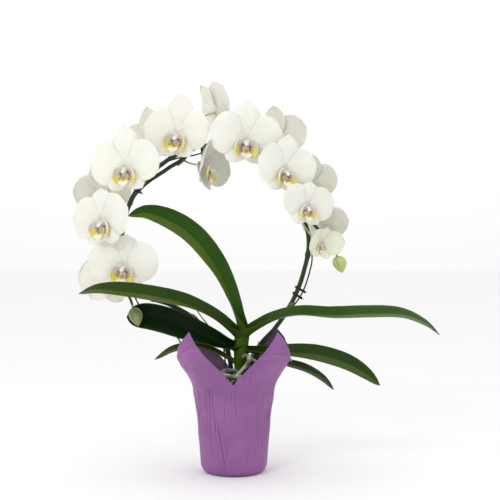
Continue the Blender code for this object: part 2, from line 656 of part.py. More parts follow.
def flower_body(flower, frame, routes):
    """Points and faces of a flower's tepals and stalk."""
    cup, spike, stalk = flower[8], flower[9], flower[10]
    span = FLOWER_SPAN * flower[4]
    points, faces = [], []

    def add_ring_of(count, reach, side):
        first = len(points)
        for k in range(count):
            turn = math.tau * k / count
            distance = reach(math.degrees(turn))
            x, y = distance * math.cos(turn), distance * math.sin(turn)
            z = tepal_depth(x, y, span, cup) + side * TEPAL_THICKNESS / 2
            points.append(frame @ Vector((x, y, z)))
        return first

    def join_ring(one, two, count):
        for k in range(count):
            following = (k + 1) % count
            faces.append((one + k, one + following, two + following, two + k))

    outlines = []
    for side in (1, -1):
        core = add_ring_of(STALK_SIDES, lambda _: PEDICEL_RADIUS, side)
        middle = add_ring_of(SPOKES, lambda d: 0.52 * span * tepal_reach(d), side)
        edge = add_ring_of(SPOKES, lambda d: span * tepal_reach(d), side)
        join_ring(middle, edge, SPOKES)
        per_side = SPOKES // STALK_SIDES
        for k in range(STALK_SIDES):
            following = core + (k + 1) % STALK_SIDES
            half = per_side // 2
            for j in range(-half, per_side - half):
                a = middle + (k * per_side + j) % SPOKES
                b = middle + (k * per_side + j + 1) % SPOKES
                if j < per_side - half - 1:
                    faces.append((core + k, a, b))
                else:
                    faces.append((core + k, a, b, following))
        outlines.append((core, edge))
    join_ring(outlines[0][1], outlines[1][1], SPOKES)
    faces.append(tuple(outlines[0][0] + k for k in range(STALK_SIDES)))

    route, out = stalk_route(frame, routes[spike], stalk)
    ring = outlines[1][0]
    side_way = frame.to_3x3() @ Vector((1, 0, 0))
    for place, along in list(zip(route, [*tangents(route)[:-1], -out]))[1:]:
        side_way = (side_way - along * side_way.dot(along)).normalized()
        up_way = side_way.cross(along)
        first = len(points)
        for k in range(STALK_SIDES):
            turn = math.tau * k / STALK_SIDES
            points.append(place + PEDICEL_RADIUS * (math.cos(turn) * side_way + math.sin(turn) * up_way))
        join_ring(ring, first, STALK_SIDES)
        ring = first
    faces.append(tuple(ring + k for k in range(STALK_SIDES)))
    return points, faces


def add_flowers(routes, petal, lip):
    """Every flower and its lip. A flower that would meet what already stands moves out from the hoop."""
    standing = []
    for placed in bpy.context.scene.objects:
        corners = [corner.co / MM for corner in placed.data.vertices]
        standing.append(BVHTree.FromPolygons(corners, [side.vertices[:] for side in placed.data.polygons]))
    for flower in FLOWERS:
        way = 1.0 if flower[9] == "back_spike" else -1.0
        for step in range(FLOWER_STEPS):
            frame = Matrix.Translation((0, way * step, 0)) @ flower_frame(flower)
            bodies = [flower_body(flower, frame, routes), lip_body(flower, frame)]
            trees = [BVHTree.FromPolygons(*body) for body in bodies]
            if not any(tree.overlap(other) for tree in trees for other in standing):
                break
        standing += trees
        add_object(flower[0], *bodies[0], petal)
        add_object(flower[0] + "_lip", *bodies[1], lip)


def lip_body(flower, frame):
    """The lip and column: a small rounded body that rests against the middle of the tepals."""
    cup = flower[8]
    span = FLOWER_SPAN * flower[4]
    around, rows = 8, 5
    local = [Vector((0, 0, -1))]
    for i in range(1, rows):
        tilt = math.pi * i / rows
        for k in range(around):
            turn = math.tau * k / around
            x, y = math.sin(tilt) * math.cos(turn), math.sin(tilt) * math.sin(turn)
            local.append(Vector((x * (1 + 0.25 * y), y, -math.cos(tilt))))
    local.append(Vector((0, 0, 1)))
    half = Vector((LIP_WIDTH, LIP_HEIGHT, LIP_DEPTH)) * span / 2
    shaped = [Vector((p.x * half.x, p.y * half.y - LIP_DROP * span, p.z * half.z)) for p in local]
    shift = max(tepal_depth(p.x, p.y, span, cup) + TEPAL_THICKNESS / 2 - p.z for p in shaped)
    shift += GAP + 0.15 + cup / 4
    points = [frame @ (p + Vector((0, 0, shift))) for p in shaped]
    faces = [(0, 1 + (k + 1) % around, 1 + k) for k in range(around)]
    for i in range(rows - 2):
        for k in range(around):
            a, b = 1 + i * around + k, 1 + i * around + (k + 1) % around
            faces.append((a, b, b + around, a + around))
    last = len(points) - 1
    faces += [(last, last - around + k, last - around + (k + 1) % around) for k in range(around)]
    return points, faces


def add_bud(name, route, along, length, width, material):
    """A bud that hangs from the tip of a spike."""
    start = route[-1] + along * (GAP + 0.1)
    shape = [(0.0, 0.18), (0.08, 0.5), (0.3, 0.94), (0.5, 1.0), (0.72, 0.78), (0.9, 0.4), (1.0, 0.12)]
    places = [start + along * length * share for share, _ in shape]
    radii = [width / 2 * size for _, size in shape]
    add_object(name, *tube(places, radii, 10), material)


def main():
    for old in list(bpy.data.objects):
        bpy.data.objects.remove(old)
    paper = make_material("cover_paper", (0.3, 0.13, 0.31), 0.6)
    pot = make_material("pot_plastic", (0.02, 0.02, 0.02), 0.5)
    bark = make_material("bark", (0.05, 0.03, 0.025), 0.9)
    leaf = make_material("leaf", (0.045, 0.1, 0.02), 0.35)
    stem = make_material("spike", (0.05, 0.09, 0.03), 0.5)
    root = make_material("root", (0.25, 0.27, 0.2), 0.7)
    petal = make_material("petal", (0.86, 0.85, 0.78), 0.55)
    lip = make_material("lip", (0.8, 0.62, 0.25), 0.5)
    bud = make_material("bud", (0.5, 0.58, 0.2), 0.5)
    metal = make_material("hoop_wire", (0.02, 0.03, 0.02), 0.4)
    clip = make_material("clip_plastic", (0.01, 0.01, 0.01), 0.4)

    add_pot_cover(paper)
    add_nursery_pot(pot)
    add_growing_medium(bark)
    add_crown_stem(leaf)
    for each in LEAVES:
        add_leaf(each, leaf)
    for each in ROOTS:
        add_root(each, root)
    routes = add_spikes(stem)
    add_object("wire_hoop", *tube(smooth_route(wire_route(), 10.0), WIRE_RADIUS, 6), metal)
    add_object("support_twig", *tube(smooth_route(twig_route(), 16.0), TWIG_RADIUS, 6), stem)
    add_clips(routes, clip)
    back, front = routes["back_spike"][1], routes["front_spike"][1]
    add_bud("bud_left", back, LEFT_BUD_WAY, 29, 23, bud)
    add_bud("bud_right", front, RIGHT_BUD_WAY, 25, 22, bud)
    add_flowers(routes, petal, lip)


main()
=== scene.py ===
"""Looks of the potted moth orchid: petals and lips, folded leaves, crinkled paper, bark and silver roots.

Lengths are in millimetres and MM turns them into metres. The front of the plant faces -Y. The values and
routes that place each piece are the same as in the CAD model, except that leaf_3 is a little longer here.
"""

import json
import math
import random

import bmesh
import bpy
import numpy as np
from mathutils import Matrix, Vector, noise

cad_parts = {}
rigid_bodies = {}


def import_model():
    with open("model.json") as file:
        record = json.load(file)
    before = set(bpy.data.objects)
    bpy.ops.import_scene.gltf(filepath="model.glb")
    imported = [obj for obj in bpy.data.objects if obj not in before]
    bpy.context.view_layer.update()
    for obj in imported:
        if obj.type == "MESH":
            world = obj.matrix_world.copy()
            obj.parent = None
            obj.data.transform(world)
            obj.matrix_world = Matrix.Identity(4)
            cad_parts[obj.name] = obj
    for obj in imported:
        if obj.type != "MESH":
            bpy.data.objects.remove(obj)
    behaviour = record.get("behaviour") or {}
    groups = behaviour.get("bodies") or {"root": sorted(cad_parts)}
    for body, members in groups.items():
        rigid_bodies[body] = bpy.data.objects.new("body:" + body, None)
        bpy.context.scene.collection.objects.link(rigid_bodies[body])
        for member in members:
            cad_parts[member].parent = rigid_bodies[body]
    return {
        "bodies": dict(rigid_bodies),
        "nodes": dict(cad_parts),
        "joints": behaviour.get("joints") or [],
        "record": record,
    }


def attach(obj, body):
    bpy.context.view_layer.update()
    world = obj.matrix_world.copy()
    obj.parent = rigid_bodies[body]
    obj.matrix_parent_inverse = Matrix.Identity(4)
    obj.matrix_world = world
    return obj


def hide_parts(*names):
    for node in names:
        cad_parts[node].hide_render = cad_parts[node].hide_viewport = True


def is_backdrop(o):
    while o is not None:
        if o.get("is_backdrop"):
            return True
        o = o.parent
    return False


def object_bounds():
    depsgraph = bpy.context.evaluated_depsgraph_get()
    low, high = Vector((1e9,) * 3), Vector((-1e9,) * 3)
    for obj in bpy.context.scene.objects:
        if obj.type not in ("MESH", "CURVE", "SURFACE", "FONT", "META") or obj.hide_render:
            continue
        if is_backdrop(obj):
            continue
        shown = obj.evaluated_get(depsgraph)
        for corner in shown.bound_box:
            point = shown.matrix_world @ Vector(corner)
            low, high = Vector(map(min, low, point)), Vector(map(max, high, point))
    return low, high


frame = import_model()
CAD_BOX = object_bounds()

MM = 0.001
GAP = 0.35  # between pieces that touch
POT_HEIGHT = 123.0
POT_RIM_RADIUS = 57.5
POT_BASE_RADIUS = 45.5
POT_WALL = 1.5
POT_COLLAR = 10.0  # height of the thicker rim
POT_COLLAR_STEP = 2.2  # how far the rim stands out from the wall
MEDIUM_BELOW_RIM = 7.0
MEDIUM_MOUND = 13.0
STEM_FOOT = 0.95  # the slanting foot of a spike or the twig is centred this far above the medium
WIRE_FOOT = 0.75
ROOT_SEAT = 3.2  # the middle of a root lying on the medium, above it
COVER_WALL = 0.8
COVER_CLEARANCE = 1.0  # between the pot and the paper
COVER_FOOT = 4.5  # height of the rounded bottom edge
COVER_ROUNDING = 3.2  # how much narrower the flat bottom is than the wall above it
COVER_EASE = 22.0  # the paper leaves the pot's wall this far below the collar
COVER_VALLEY_RISE = 7.0  # the lowest points of the upper edge, above the pot's rim
FLAP_HEIGHT = 75.5
FLAP_FLARE = 32.0  # how far the flaps lean out past the pot's rim
FLAP_CURL = 5.0  # how far the tips come back in
FLAPS = 4
CROWN_X = 10.0
CROWN_Y = 0.0
CROWN_RADIUS = 7.0
CROWN_TOP_RADIUS = 4.6
CROWN_HEIGHT = 66.0  # above the medium
HOOP_RADIUS = 133.0
HOOP_RISE = 210.0  # the middle of the hoop, above the pot's rim
HOOP_X = -29.0
WIRE_RADIUS = 1.1
SPIKE_RADIUS = 2.6
SPIKE_TIP_RADIUS = 1.3
TWIG_RADIUS = 1.1
LANE = SPIKE_RADIUS + WIRE_RADIUS + 2.5 * GAP  # a spike runs this far in front of, or behind, the wire
INNER_LANE = 9.0  # how far the stems stray from the circle near its top
CLIP_RADIUS = 0.8
CLIP_PLAY = GAP + 0.3  # between a clip and the stems in it
STEM_SAG = 0.15  # a stem's straight pieces stray this far from its curve
LEFT_BUD_WAY = Vector((0.3, -0.12, -0.93)).normalized()
RIGHT_BUD_WAY = Vector((0.3, -0.1, -0.93)).normalized()
BUD_NECK = 7.0  # the straight end of a spike above its bud
FLOWER_SPAN = 104.0
TEPAL_THICKNESS = 1.1
PEDICEL_RADIUS = 1.25
LEAF_FOLD = math.radians(20)
COVER_FLOOR = COVER_WALL
POT_FLOOR = COVER_FLOOR + GAP
POT_TOP = POT_FLOOR + POT_HEIGHT
HOOP_Z = POT_TOP + HOOP_RISE


def blend(points, x):
    """The value at x on straight lines through (x, value) points."""
    if x <= points[0][0]:
        return points[0][1]
    for (x0, y0), (x1, y1) in zip(points, points[1:]):
        if x <= x1:
            t = (x - x0) / (x1 - x0)
            return y0 + (y1 - y0) * t
    return points[-1][1]


def smooth_route(points, step):
    """Points about `step` apart on a Catmull-Rom curve through the given points."""
    points = [Vector(p) for p in points]
    padded = [2 * points[0] - points[1], *points, 2 * points[-1] - points[-2]]
    route = []
    for a, b, c, d in zip(padded, padded[1:], padded[2:], padded[3:]):
        count = max(1, round((c - b).length / step))
        for i in range(count):
            t = i / count
            bend = (2 * a - 5 * b + 4 * c - d) * t**2 + (3 * b - a - 3 * c + d) * t**3
            route.append(0.5 * (2 * b + (c - a) * t + bend))
    return [*route, points[-1]]


def tangents(route):
    ends = [route[0], *route, route[-1]]
    return [(after - before).normalized() for before, after in zip(ends, ends[2:])]


def ring_faces(rings, around):
    """Faces of rings of points that follow each other, with a cap at each end."""
    faces = []
    for i in range(rings - 1):
        for k in range(around):
            a, b = i * around + k, i * around + (k + 1) % around
            faces.append((a, b, b + around, a + around))
    count = rings * around
    return [*faces, tuple(range(around)), tuple(range(count - around, count))]


def on_circle(centre, radius, turn, side, up):
    return centre + radius * (math.cos(turn) * side + math.sin(turn) * up)


def tube(route, radii, sides):
    """Points and faces of a capped tube; `radii` is one radius or one for each point."""
    if not isinstance(radii, list):
        radii = [radii] * len(route)
    points, side = [], None
    for place, along, radius in zip(route, tangents(route), radii):
        start = side if side else Vector((0.3, 1.0, 0.2))
        side = (start - along * start.dot(along)).normalized()
        up = along.cross(side)
        points += [on_circle(place, radius, math.tau * k / sides, side, up) for k in range(sides)]
    return points, ring_faces(len(route), sides)


def revolve(profile, count):
    """A solid turned about +Z from (radius, height) points that start and end on the axis."""
    points, rings, faces = [], [], []
    for radius, height in profile:
        if radius == 0:
            points.append((0, 0, height))
            rings.append([len(points) - 1] * count)
            continue
        rings.append(list(range(len(points), len(points) + count)))
        for k in range(count):
            turn = math.tau * k / count
            points.append((radius * math.cos(turn), radius * math.sin(turn), height))
    for low, high in zip(rings, rings[1:]):
        for k in range(count):
            following = (k + 1) % count
            corners = [low[k], low[following], high[following], high[k]]
            faces.append(tuple(dict.fromkeys(corners)))
    return points, faces


def pot_radius(height):
    """The outer radius of the pot's wall at a height above the cover's floor."""
    share = min(1.0, max(0.0, (height - POT_FLOOR) / POT_HEIGHT))
    return POT_BASE_RADIUS + (POT_RIM_RADIUS - POT_COLLAR_STEP - POT_BASE_RADIUS) * share


def medium_radius(height):
    return pot_radius(height) - POT_WALL - GAP


def medium_top(x, y):
    edge = medium_radius(POT_TOP - MEDIUM_BELOW_RIM)
    share = min(1.0, math.hypot(x, y) / edge)
    return POT_TOP - MEDIUM_BELOW_RIM + MEDIUM_MOUND * (1 - share * share)


def cover_radius(height):
    """The outer radius of the paper at a height."""
    valley = POT_TOP + COVER_VALLEY_RISE
    hug = pot_radius(height) + COVER_CLEARANCE + COVER_WALL
    rim = POT_RIM_RADIUS + COVER_CLEARANCE + COVER_WALL
    collar_floor = POT_TOP - POT_COLLAR
    if height <= COVER_FOOT:
        share = height / COVER_FOOT
        return hug - COVER_ROUNDING * (1 - math.sqrt(share * (2 - share)))
    ease = COVER_EASE
    if height < collar_floor - ease:
        return hug
    if height < collar_floor:
        start = pot_radius(collar_floor - ease) + COVER_CLEARANCE + COVER_WALL
        return start + (rim - start) * (height - collar_floor + ease) / ease
    if height <= valley - 2:
        return rim
    share = (height - valley + 2) / (FLAP_HEIGHT + 2)
    flare = [(0, 0), (0.08, 0.13), (0.23, 0.42), (0.42, 0.76), (0.6, 1.0), (0.8, 0.98)]
    flare.append((1.0, 1 - FLAP_CURL / FLAP_FLARE))
    return rim + FLAP_FLARE * blend(flare, share)


def cover_top(turn):
    """The height of the paper's upper edge: straight edges between four tips and four valleys."""
    half = math.pi / FLAPS
    from_tip = abs((turn % (2 * half)) - half) / half
    return POT_TOP + COVER_VALLEY_RISE + max(1.5, FLAP_HEIGHT * (1 - from_tip))


def crown_z(share):
    """A height on the crown stem: 0 at its foot, 1 at its top."""
    return medium_top(CROWN_X - CROWN_RADIUS, 0) + GAP + CROWN_HEIGHT * share


def crown_radius(share):
    return CROWN_RADIUS + (CROWN_TOP_RADIUS - CROWN_RADIUS) * share


# name, height on the crown, way out of it, length, half width, the course in shares of the length (sideways,
# up and forward), and how far the blade is turned up at its foot and at its tip
LEAVES = [
    ("leaf_1", 1.0, (-0.1, 0.0), 250, 20.5,
     [(0, 0, 0), (0.03, 0.15, -0.01), (0.085, 0.3, -0.02), (0.165, 0.445, -0.025), (0.27, 0.57, -0.01),
      (0.4, 0.66, 0.01), (0.53, 0.705, 0.035), (0.64, 0.685, 0.055)], 34, 40),
    ("leaf_2", 0.9, (-1.0, -0.5), 262, 20.0,
     [(0, 0, 0), (0.12, 0.12, 0.05), (0.27, 0.2, 0.1), (0.43, 0.245, 0.155), (0.6, 0.275, 0.19),
      (0.74, 0.287, 0.205), (0.84, 0.265, 0.205)], 55, 62),
    ("leaf_3", 0.62, (-1.0, -0.15), 181, 21.0,
     [(0, 0, 0), (0.17, 0.1, 0.02), (0.36, 0.18, 0.025), (0.56, 0.252, 0.015), (0.73, 0.29, 0.005),
      (0.88, 0.283, -0.005)], 22, 15),
    ("leaf_4", 0.9, (1.0, -0.55), 300, 19.5,
     [(0, 0, 0), (0.08, 0.065, 0.035), (0.17, 0.11, 0.06), (0.27, 0.128, 0.075), (0.41, 0.122, 0.085),
      (0.575, 0.13, 0.095), (0.74, 0.128, 0.1), (0.85, 0.09, 0.105), (0.92, 0.035, 0.11)], 62, 68),
    ("leaf_5", 0.62, (1.0, 0.0), 215, 15.5,
     [(0, 0, 0), (0.17, 0.0, 0.0), (0.32, 0.0, -0.02), (0.5, -0.02, -0.05), (0.68, -0.075, -0.07),
      (0.82, -0.15, -0.08), (0.92, -0.235, -0.08)], 35, 40),
    ("leaf_6", 0.34, (1.0, -0.2), 150, 11.0,
     [(0, 0, 0), (0.2, 0.03, 0.0), (0.4, 0.01, 0.0), (0.58, -0.045, -0.04), (0.74, -0.13, -0.08),
      (0.86, -0.25, -0.1)], 60, 60),
    ("leaf_7", 0.34, (-1.0, -0.3), 135, 8.5,
     [(0, 0, 0), (0.2, 0.13, 0.0), (0.4, 0.2, -0.01), (0.58, 0.19, -0.015), (0.72, 0.15, -0.02),
      (0.88, 0.06, -0.03)], 55, 55),
]
# name, radius, way out of the crown, height on it, and places as x, y and the height above the medium
ROOTS = [
    ("root_1", 2.5, -65, 0.55,
     [(22, -22, 42), (19, -34, 35), (6, -41, 22), (-3, -40, 9), (-6, -38, ROOT_SEAT)]),
    ("root_2", 2.3, 225, 0.22,
     [(-10, -20, 20), (-17, -34, 21), (-4, -45, 22), (14, -47, 21), (30, -41, ROOT_SEAT)]),
    ("root_3", 2.2, -95, 0.12, [(8, -24, 8), (6, -44, 13), (8, -57, 24), (9.5, -68, 28)]),
    ("root_4", 2.3, -20, 0.45, [(28, -16, 36), (36, -22, 32), (41, -24, 16), (42, -24, ROOT_SEAT)]),
    ("root_5", 2.2, -12, 0.12, [(36, -8, 19), (54, -13, 30), (68, -15, 44), (77, -16, 50), (83, -16, 43)]),
]


def on_hoop(degrees, out=0.0, y=0.0):
    """A place by its angle round the hoop, from +X through +Z, its distance outside the hoop, and depth."""
    turn = math.radians(degrees)
    reach = HOOP_RADIUS + out
    return Vector((HOOP_X + reach * math.cos(turn), y, HOOP_Z + reach * math.sin(turn)))


def above_pot(x, y, height):
    return Vector((x, y, POT_TOP + height))


def on_medium(x, y, rise):
    return Vector((x, y, medium_top(x, y) + rise))


def wire_route():
    right = [above_pot(34, 10, 36), above_pot(48, 8, 66), above_pot(68, 6, 92)]
    left = [above_pot(-84, 12, 69), above_pot(-74, 13, 50), above_pot(-58, 14, 24)]
    route = [on_medium(30, 10, WIRE_FOOT), *right]
    route += [on_hoop(319, 17, 4), on_hoop(330, 16, 3), on_hoop(343, 13, 1.5)]
    route += [on_hoop(351, 11, 0.8), on_hoop(2, 5, 0)]
    route += [on_hoop(degrees, wire_lane(degrees)) for degrees in range(14, 165, 6)]
    route += [on_hoop(172, 0, 1.0), on_hoop(180, 0, 3.5), on_hoop(190, 2, 6), on_hoop(199, 4, 7.5)]
    route += [on_hoop(215, 9, 9.5), on_hoop(223, 12, 10), on_hoop(236, 14, 11.5), *left]
    return [*route, on_medium(-44, 15, WIRE_FOOT)]


def back_lane(degrees):
    lane = [(60, 0), (78, 0.5), (101, 0.5), (106, 0), (112, -0.9), (128, -1), (150, 0)]
    return INNER_LANE * blend(lane, degrees)


def front_lane(degrees):
    return INNER_LANE * blend([(60, 0), (80, 0.4), (100, 0.5), (112, 0.2), (125, 0)], degrees)


def wire_lane(degrees):
    return INNER_LANE * blend([(80, 0), (95, -0.5), (103, -0.75), (112, -0.4), (122, 0)], degrees)


def back_spike_route():
    """Up the right side, over the top behind the wire, and down to the bud at the lower left."""
    route = [on_medium(24, 16, STEM_FOOT), above_pot(30, 18, 36), above_pot(41, 19, 60)]
    route += [above_pot(59, 17, 80), above_pot(79, 12, 109), on_hoop(331, 8, 8.5), on_hoop(342, 5, 6.5)]
    route += [on_hoop(353, 5, 5.6), on_hoop(4, 4, 5.2)]
    route += [on_hoop(degrees, back_lane(degrees), LANE) for degrees in range(16, 167, 5)]
    route += [on_hoop(173, 2, LANE + 0.4), on_hoop(181, 6, LANE + 0.8)]
    route += [on_hoop(188, 11, 4.5), on_hoop(194, 13, 1.0)]
    route += [on_hoop(202, 13, -2), on_hoop(210, 13, -8), on_hoop(216, 14, -14)]
    return [*route, route[-1] + BUD_NECK * LEFT_BUD_WAY]


def front_spike_route():
    """Up the left side, over the top in front of the wire, and down to the bud at the right."""
    route = [on_medium(-4, 13, STEM_FOOT), above_pot(-6, 13, 34), above_pot(-14, 13, 58)]
    route += [above_pot(-35, 12, 75), above_pot(-60, 11, 97), above_pot(-93, 8, 116), on_hoop(222, -8, 5.5)]
    route += [on_hoop(209, 2, 3), on_hoop(198, 3, 1.6), on_hoop(189, 1, 0.6), on_hoop(181, 0, -1.6)]
    route += [on_hoop(173, 0, -4.0)]
    route += [on_hoop(degrees, front_lane(degrees), -LANE) for degrees in range(164, 23, -5)]
    route += [on_hoop(15, 5, -LANE), on_hoop(8, 15, -5), on_hoop(2, 28, -5), on_hoop(356.5, 41, -5)]
    return [*route, route[-1] + BUD_NECK * RIGHT_BUD_WAY]


def twig_route():
    route = [on_medium(-12, 20, STEM_FOOT), above_pot(-16, 20, 52), above_pot(-33, 19, 78)]
    return [*route, above_pot(-52, 18, 103), above_pot(-63, 18, 123)]


def nearest(route, place):
    return min(route, key=lambda p: (p - place).length)


def spike_routes():
    """Each spike's fine route, its CAD route and the radii along that."""
    routes = {}
    for name, places in (("back_spike", back_spike_route()), ("front_spike", front_spike_route())):
        route = smooth_route(places, 9.0)
        last = len(route) - 1
        radii = []
        for i in range(last + 1):
            taper = blend([(0, 0), (0.6, 0.15), (0.93, 0.7), (1, 1)], i / last)
            radii.append(SPIKE_RADIUS + (SPIKE_TIP_RADIUS - SPIKE_RADIUS) * taper)
        routes[name] = (smooth_route(places, 2.0), route, radii)
    return routes


# name, degrees round the hoop, distance outside it, depth, size, yaw, pitch, roll, cup, the spike that it
# grows on and where its stalk meets that
FLOWERS = [
    ("flower_01", 196, 0, -25, 1, -8, 2, -3, 0.1, "front_spike", 189),
    ("flower_02", 168, 26, -30, 0.98, -30, 0, 4, 0.12, "front_spike", 170),
    ("flower_03", 140, 30, -37, 0.98, -16, 0, 4, 0.12, "front_spike", 146),
    ("flower_04", 108, 26, -24, 0.97, -20, 4, -4, 0.12, "front_spike", 118),
    ("flower_05", 72, 17, -40, 1, 12, 2, -4, 0.12, "front_spike", 84),
    ("flower_06", 45, 7, -46, 0.94, 30, 0, -8, 0.12, "front_spike", 60),
    ("flower_07", 20, 9, -40, 0.82, 26, -2, -8, 0.14, "front_spike", 40),
    ("flower_08", 0, 25, -24, 0.6, 34, -14, -4, 0.6, "front_spike", 16),
    ("flower_09", 98, -33, -20, 0.8, 68, -6, -20, 1, "back_spike", 112),
    ("flower_10", 197, 37, 38, 0.92, 172, -6, 6, 0.12, "back_spike", 183),
    ("flower_11", 157, 49, 38, 0.95, 200, 6, -10, 0.12, "back_spike", 164),
    ("flower_12", 123, 44, 40, 0.9, 184, 4, 3, 0.12, "back_spike", 135),
    ("flower_13", 89, 58, 38, 0.97, 118, 8, -25, 0.12, "back_spike", 104),
    ("flower_14", 57, 48, 40, 0.95, 150, 6, -8, 0.12, "back_spike", 72),
    ("flower_15", 33, 39, 38, 0.9, 150, 4, 10, 0.12, "back_spike", 46),
    ("flower_16", 10, 33, 36, 0.85, 152, 0, 8, 0.14, "back_spike", 24),
]


def flower_frame(flower):
    """A flower's matrix: local X to its right, Y up and Z out of its face."""
    _, degrees, out, depth, _, yaw, pitch, roll = flower[:8]
    face = Matrix(((1, 0, 0, 0), (0, 0, -1, 0), (0, 1, 0, 0), (0, 0, 0, 1)))
    turn = Matrix.Rotation(math.radians(yaw), 4, "Z") @ face
    turn = turn @ Matrix.Rotation(math.radians(-pitch), 4, "X") @ Matrix.Rotation(math.radians(roll), 4, "Z")
    return Matrix.Translation(on_hoop(degrees, out, depth)) @ turn


def stalk_route(frame, spike, degrees):
    """From the back of a flower to the spike's surface."""
    back = frame @ Vector((0, 0, -TEPAL_THICKNESS / 2))
    facing = frame.to_3x3() @ Vector((0, 0, 1))
    fine, route, radii = spike
    seat = nearest(fine, on_hoop(degrees))
    along = tangents(fine)[fine.index(seat)]
    radius = radii[route.index(nearest(route, seat))]
    lead = back - facing * 0.4 * (back - seat).length
    out = lead - seat
    out = (out - along * out.dot(along)).normalized()
    foot = seat + out * (radius + GAP + 0.1)
    knee = foot + out * 0.3 * (lead - foot).length
    places = []
    for t in (i / 6 for i in range(7)):
        near, far = (1 - t) ** 3 * back + 3 * t * (1 - t) ** 2 * lead, 3 * t * t * (1 - t) * knee
        places.append(near + far + t**3 * foot)
    return places


# --- meshes ---


class Shape:
    """Points in millimetres with their marks and tints, and faces with their material's number."""

    def __init__(self):
        self.points, self.marks, self.tints = [], [], []
        self.faces, self.slots = [], []

    def add(self, points, faces, marks=None, tints=None, slot=0):
        first = len(self.points)
        self.points += points
        self.marks += marks or [(0.0, 0.0, 0.0)] * len(points)
        self.tints += tints or [(1.0, 1.0, 1.0)] * len(points)
        self.faces += [tuple(first + i for i in face) for face in faces]
        self.slots += [slot] * len(faces)


def make_piece(name, shape, materials, slot, *nodes):
    """One object that rides on the plant and stands for the CAD nodes named."""
    mesh = bpy.data.meshes.new(name)
    mesh.from_pydata([tuple(Vector(p) * MM) for p in shape.points], [], shape.faces)
    for material in materials:
        mesh.materials.append(material)
    mesh.polygons.foreach_set("material_index", shape.slots)
    mark = mesh.attributes.new("mark", "FLOAT_VECTOR", "POINT")
    mark.data.foreach_set("vector", [c for m in shape.marks for c in m])
    tint = mesh.attributes.new("tint", "FLOAT_COLOR", "POINT")
    tint.data.foreach_set("color", [c for t in shape.tints for c in (*t, 1.0)])
    body = bmesh.new()
    body.from_mesh(mesh)
    bmesh.ops.recalc_face_normals(body, faces=body.faces)
    body.to_mesh(mesh)
    body.free()
    mesh.shade_smooth()
    mesh.set_sharp_from_angle(angle=math.radians(55))
    placed = bpy.data.objects.new(name, mesh)
    bpy.context.scene.collection.objects.link(placed)
    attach(placed, "root")
    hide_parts(*nodes)
    return placed


def sheet(grid, thickness):
    """A closed thin body from rows of places. `thickness(i, j)` is how thick it is at row i, column j."""
    rows, columns = len(grid), len(grid[0])
    front, back = [], []
    for i in range(rows):
        for j in range(columns):
            down = grid[min(i + 1, rows - 1)][j] - grid[max(i - 1, 0)][j]
            over = grid[i][min(j + 1, columns - 1)] - grid[i][max(j - 1, 0)]
            normal = down.cross(over).normalized() * thickness(i, j) / 2
            front.append(grid[i][j] + normal)
            back.append(grid[i][j] - normal)
    faces = []
    count = rows * columns
    for i in range(rows - 1):
        for j in range(columns - 1):
            a = i * columns + j
            faces.append((a, a + 1, a + columns + 1, a + columns))
            faces.append((count + a, count + a + columns, count + a + columns + 1, count + a + 1))
    edge = [(0, j) for j in range(columns)] + [(i, columns - 1) for i in range(1, rows)]
    edge += [(rows - 1, j) for j in range(columns - 2, -1, -1)] + [(i, 0) for i in range(rows - 2, 0, -1)]
    rim = [i * columns + j for i, j in edge]
    for a, b in zip(rim, rim[1:] + rim[:1]):
        faces.append((a, b, b + count, a + count))
    return front + back, faces


def ease(x):
    x = min(1.0, max(0.0, x))
    return x * x * (3 - 2 * x)


def mix(a, b, t):
    t = min(1.0, max(0.0, t))
    return tuple(p + (q - p) * t for p, q in zip(a, b))


def patch(rows, columns, cell):
    """Rows of places and their tints; `cell` gives one of each from two shares."""
    grid, tints = [], []
    for i in range(rows):
        cells = [cell(i / (rows - 1), j / (columns - 1)) for j in range(columns)]
        grid.append([place for place, _ in cells])
        tints += [tint for _, tint in cells]
    return grid, tints


# --- materials ---


def node_tools(tree):
    """Two functions for a node tree: one sets or links a node's inputs, the other adds a node."""

    def plug(made, inputs):
        for key, value in inputs.items():
            if isinstance(value, bpy.types.NodeSocket):
                tree.links.new(value, made.inputs[key])
            else:
                made.inputs[key].default_value = value

    def node(kind, inputs=None, **settings):
        made = tree.nodes.new(kind)
        for key, value in settings.items():
            setattr(made, key, value)
        plug(made, inputs or {})
        return made

    return plug, node


def new_material(name):
    """A material, a function that adds a node and one that fills in its shader."""
    material = bpy.data.materials.new(name)
    material.use_nodes = True
    plug, node = node_tools(material.node_tree)
    return material, node, lambda inputs: plug(material.node_tree.nodes["Principled BSDF"], inputs)


def math_node(node, operation, a, b=0.0):
    return node("ShaderNodeMath", {0: a, 1: b}, operation=operation).outputs[0]


def spread(node, value, low, high, start=0.0, end=1.0):
    """Carries start … end over to low … high."""
    limits = {"From Min": start, "From Max": end, "To Min": low, "To Max": high}
    return node("ShaderNodeMapRange", {"Value": value, **limits}).outputs[0]


def attribute(node, name, kind="Vector"):
    return node("ShaderNodeAttribute", attribute_name=name, attribute_type="GEOMETRY").outputs[kind]


def split(node, vector):
    return node("ShaderNodeSeparateXYZ", {"Vector": vector}).outputs


def ramp(node, factor, stops):
    made = node("ShaderNodeValToRGB", {"Fac": factor})
    elements = made.color_ramp.elements
    while len(elements) < len(stops):
        elements.new(0.5)
    for element, (place, colour) in zip(elements, stops):
        element.position = place
        element.color = (*colour, 1.0)
    return made.outputs["Color"]


def mix_colour(node, factor, a, b, kind="MIX"):
    a, b = (c if isinstance(c, bpy.types.NodeSocket) else (*c, 1.0) for c in (a, b))
    inputs = {"Factor": factor, 6: a, 7: b}
    return node("ShaderNodeMix", inputs, data_type="RGBA", blend_type=kind).outputs[2]


def multiply(node, a, b, share=1.0):
    return mix_colour(node, share, a, b, "MULTIPLY")


def bump(node, height, strength, distance):
    return node("ShaderNodeBump", {"Height": height, "Strength": strength, "Distance": distance}).outputs[0]


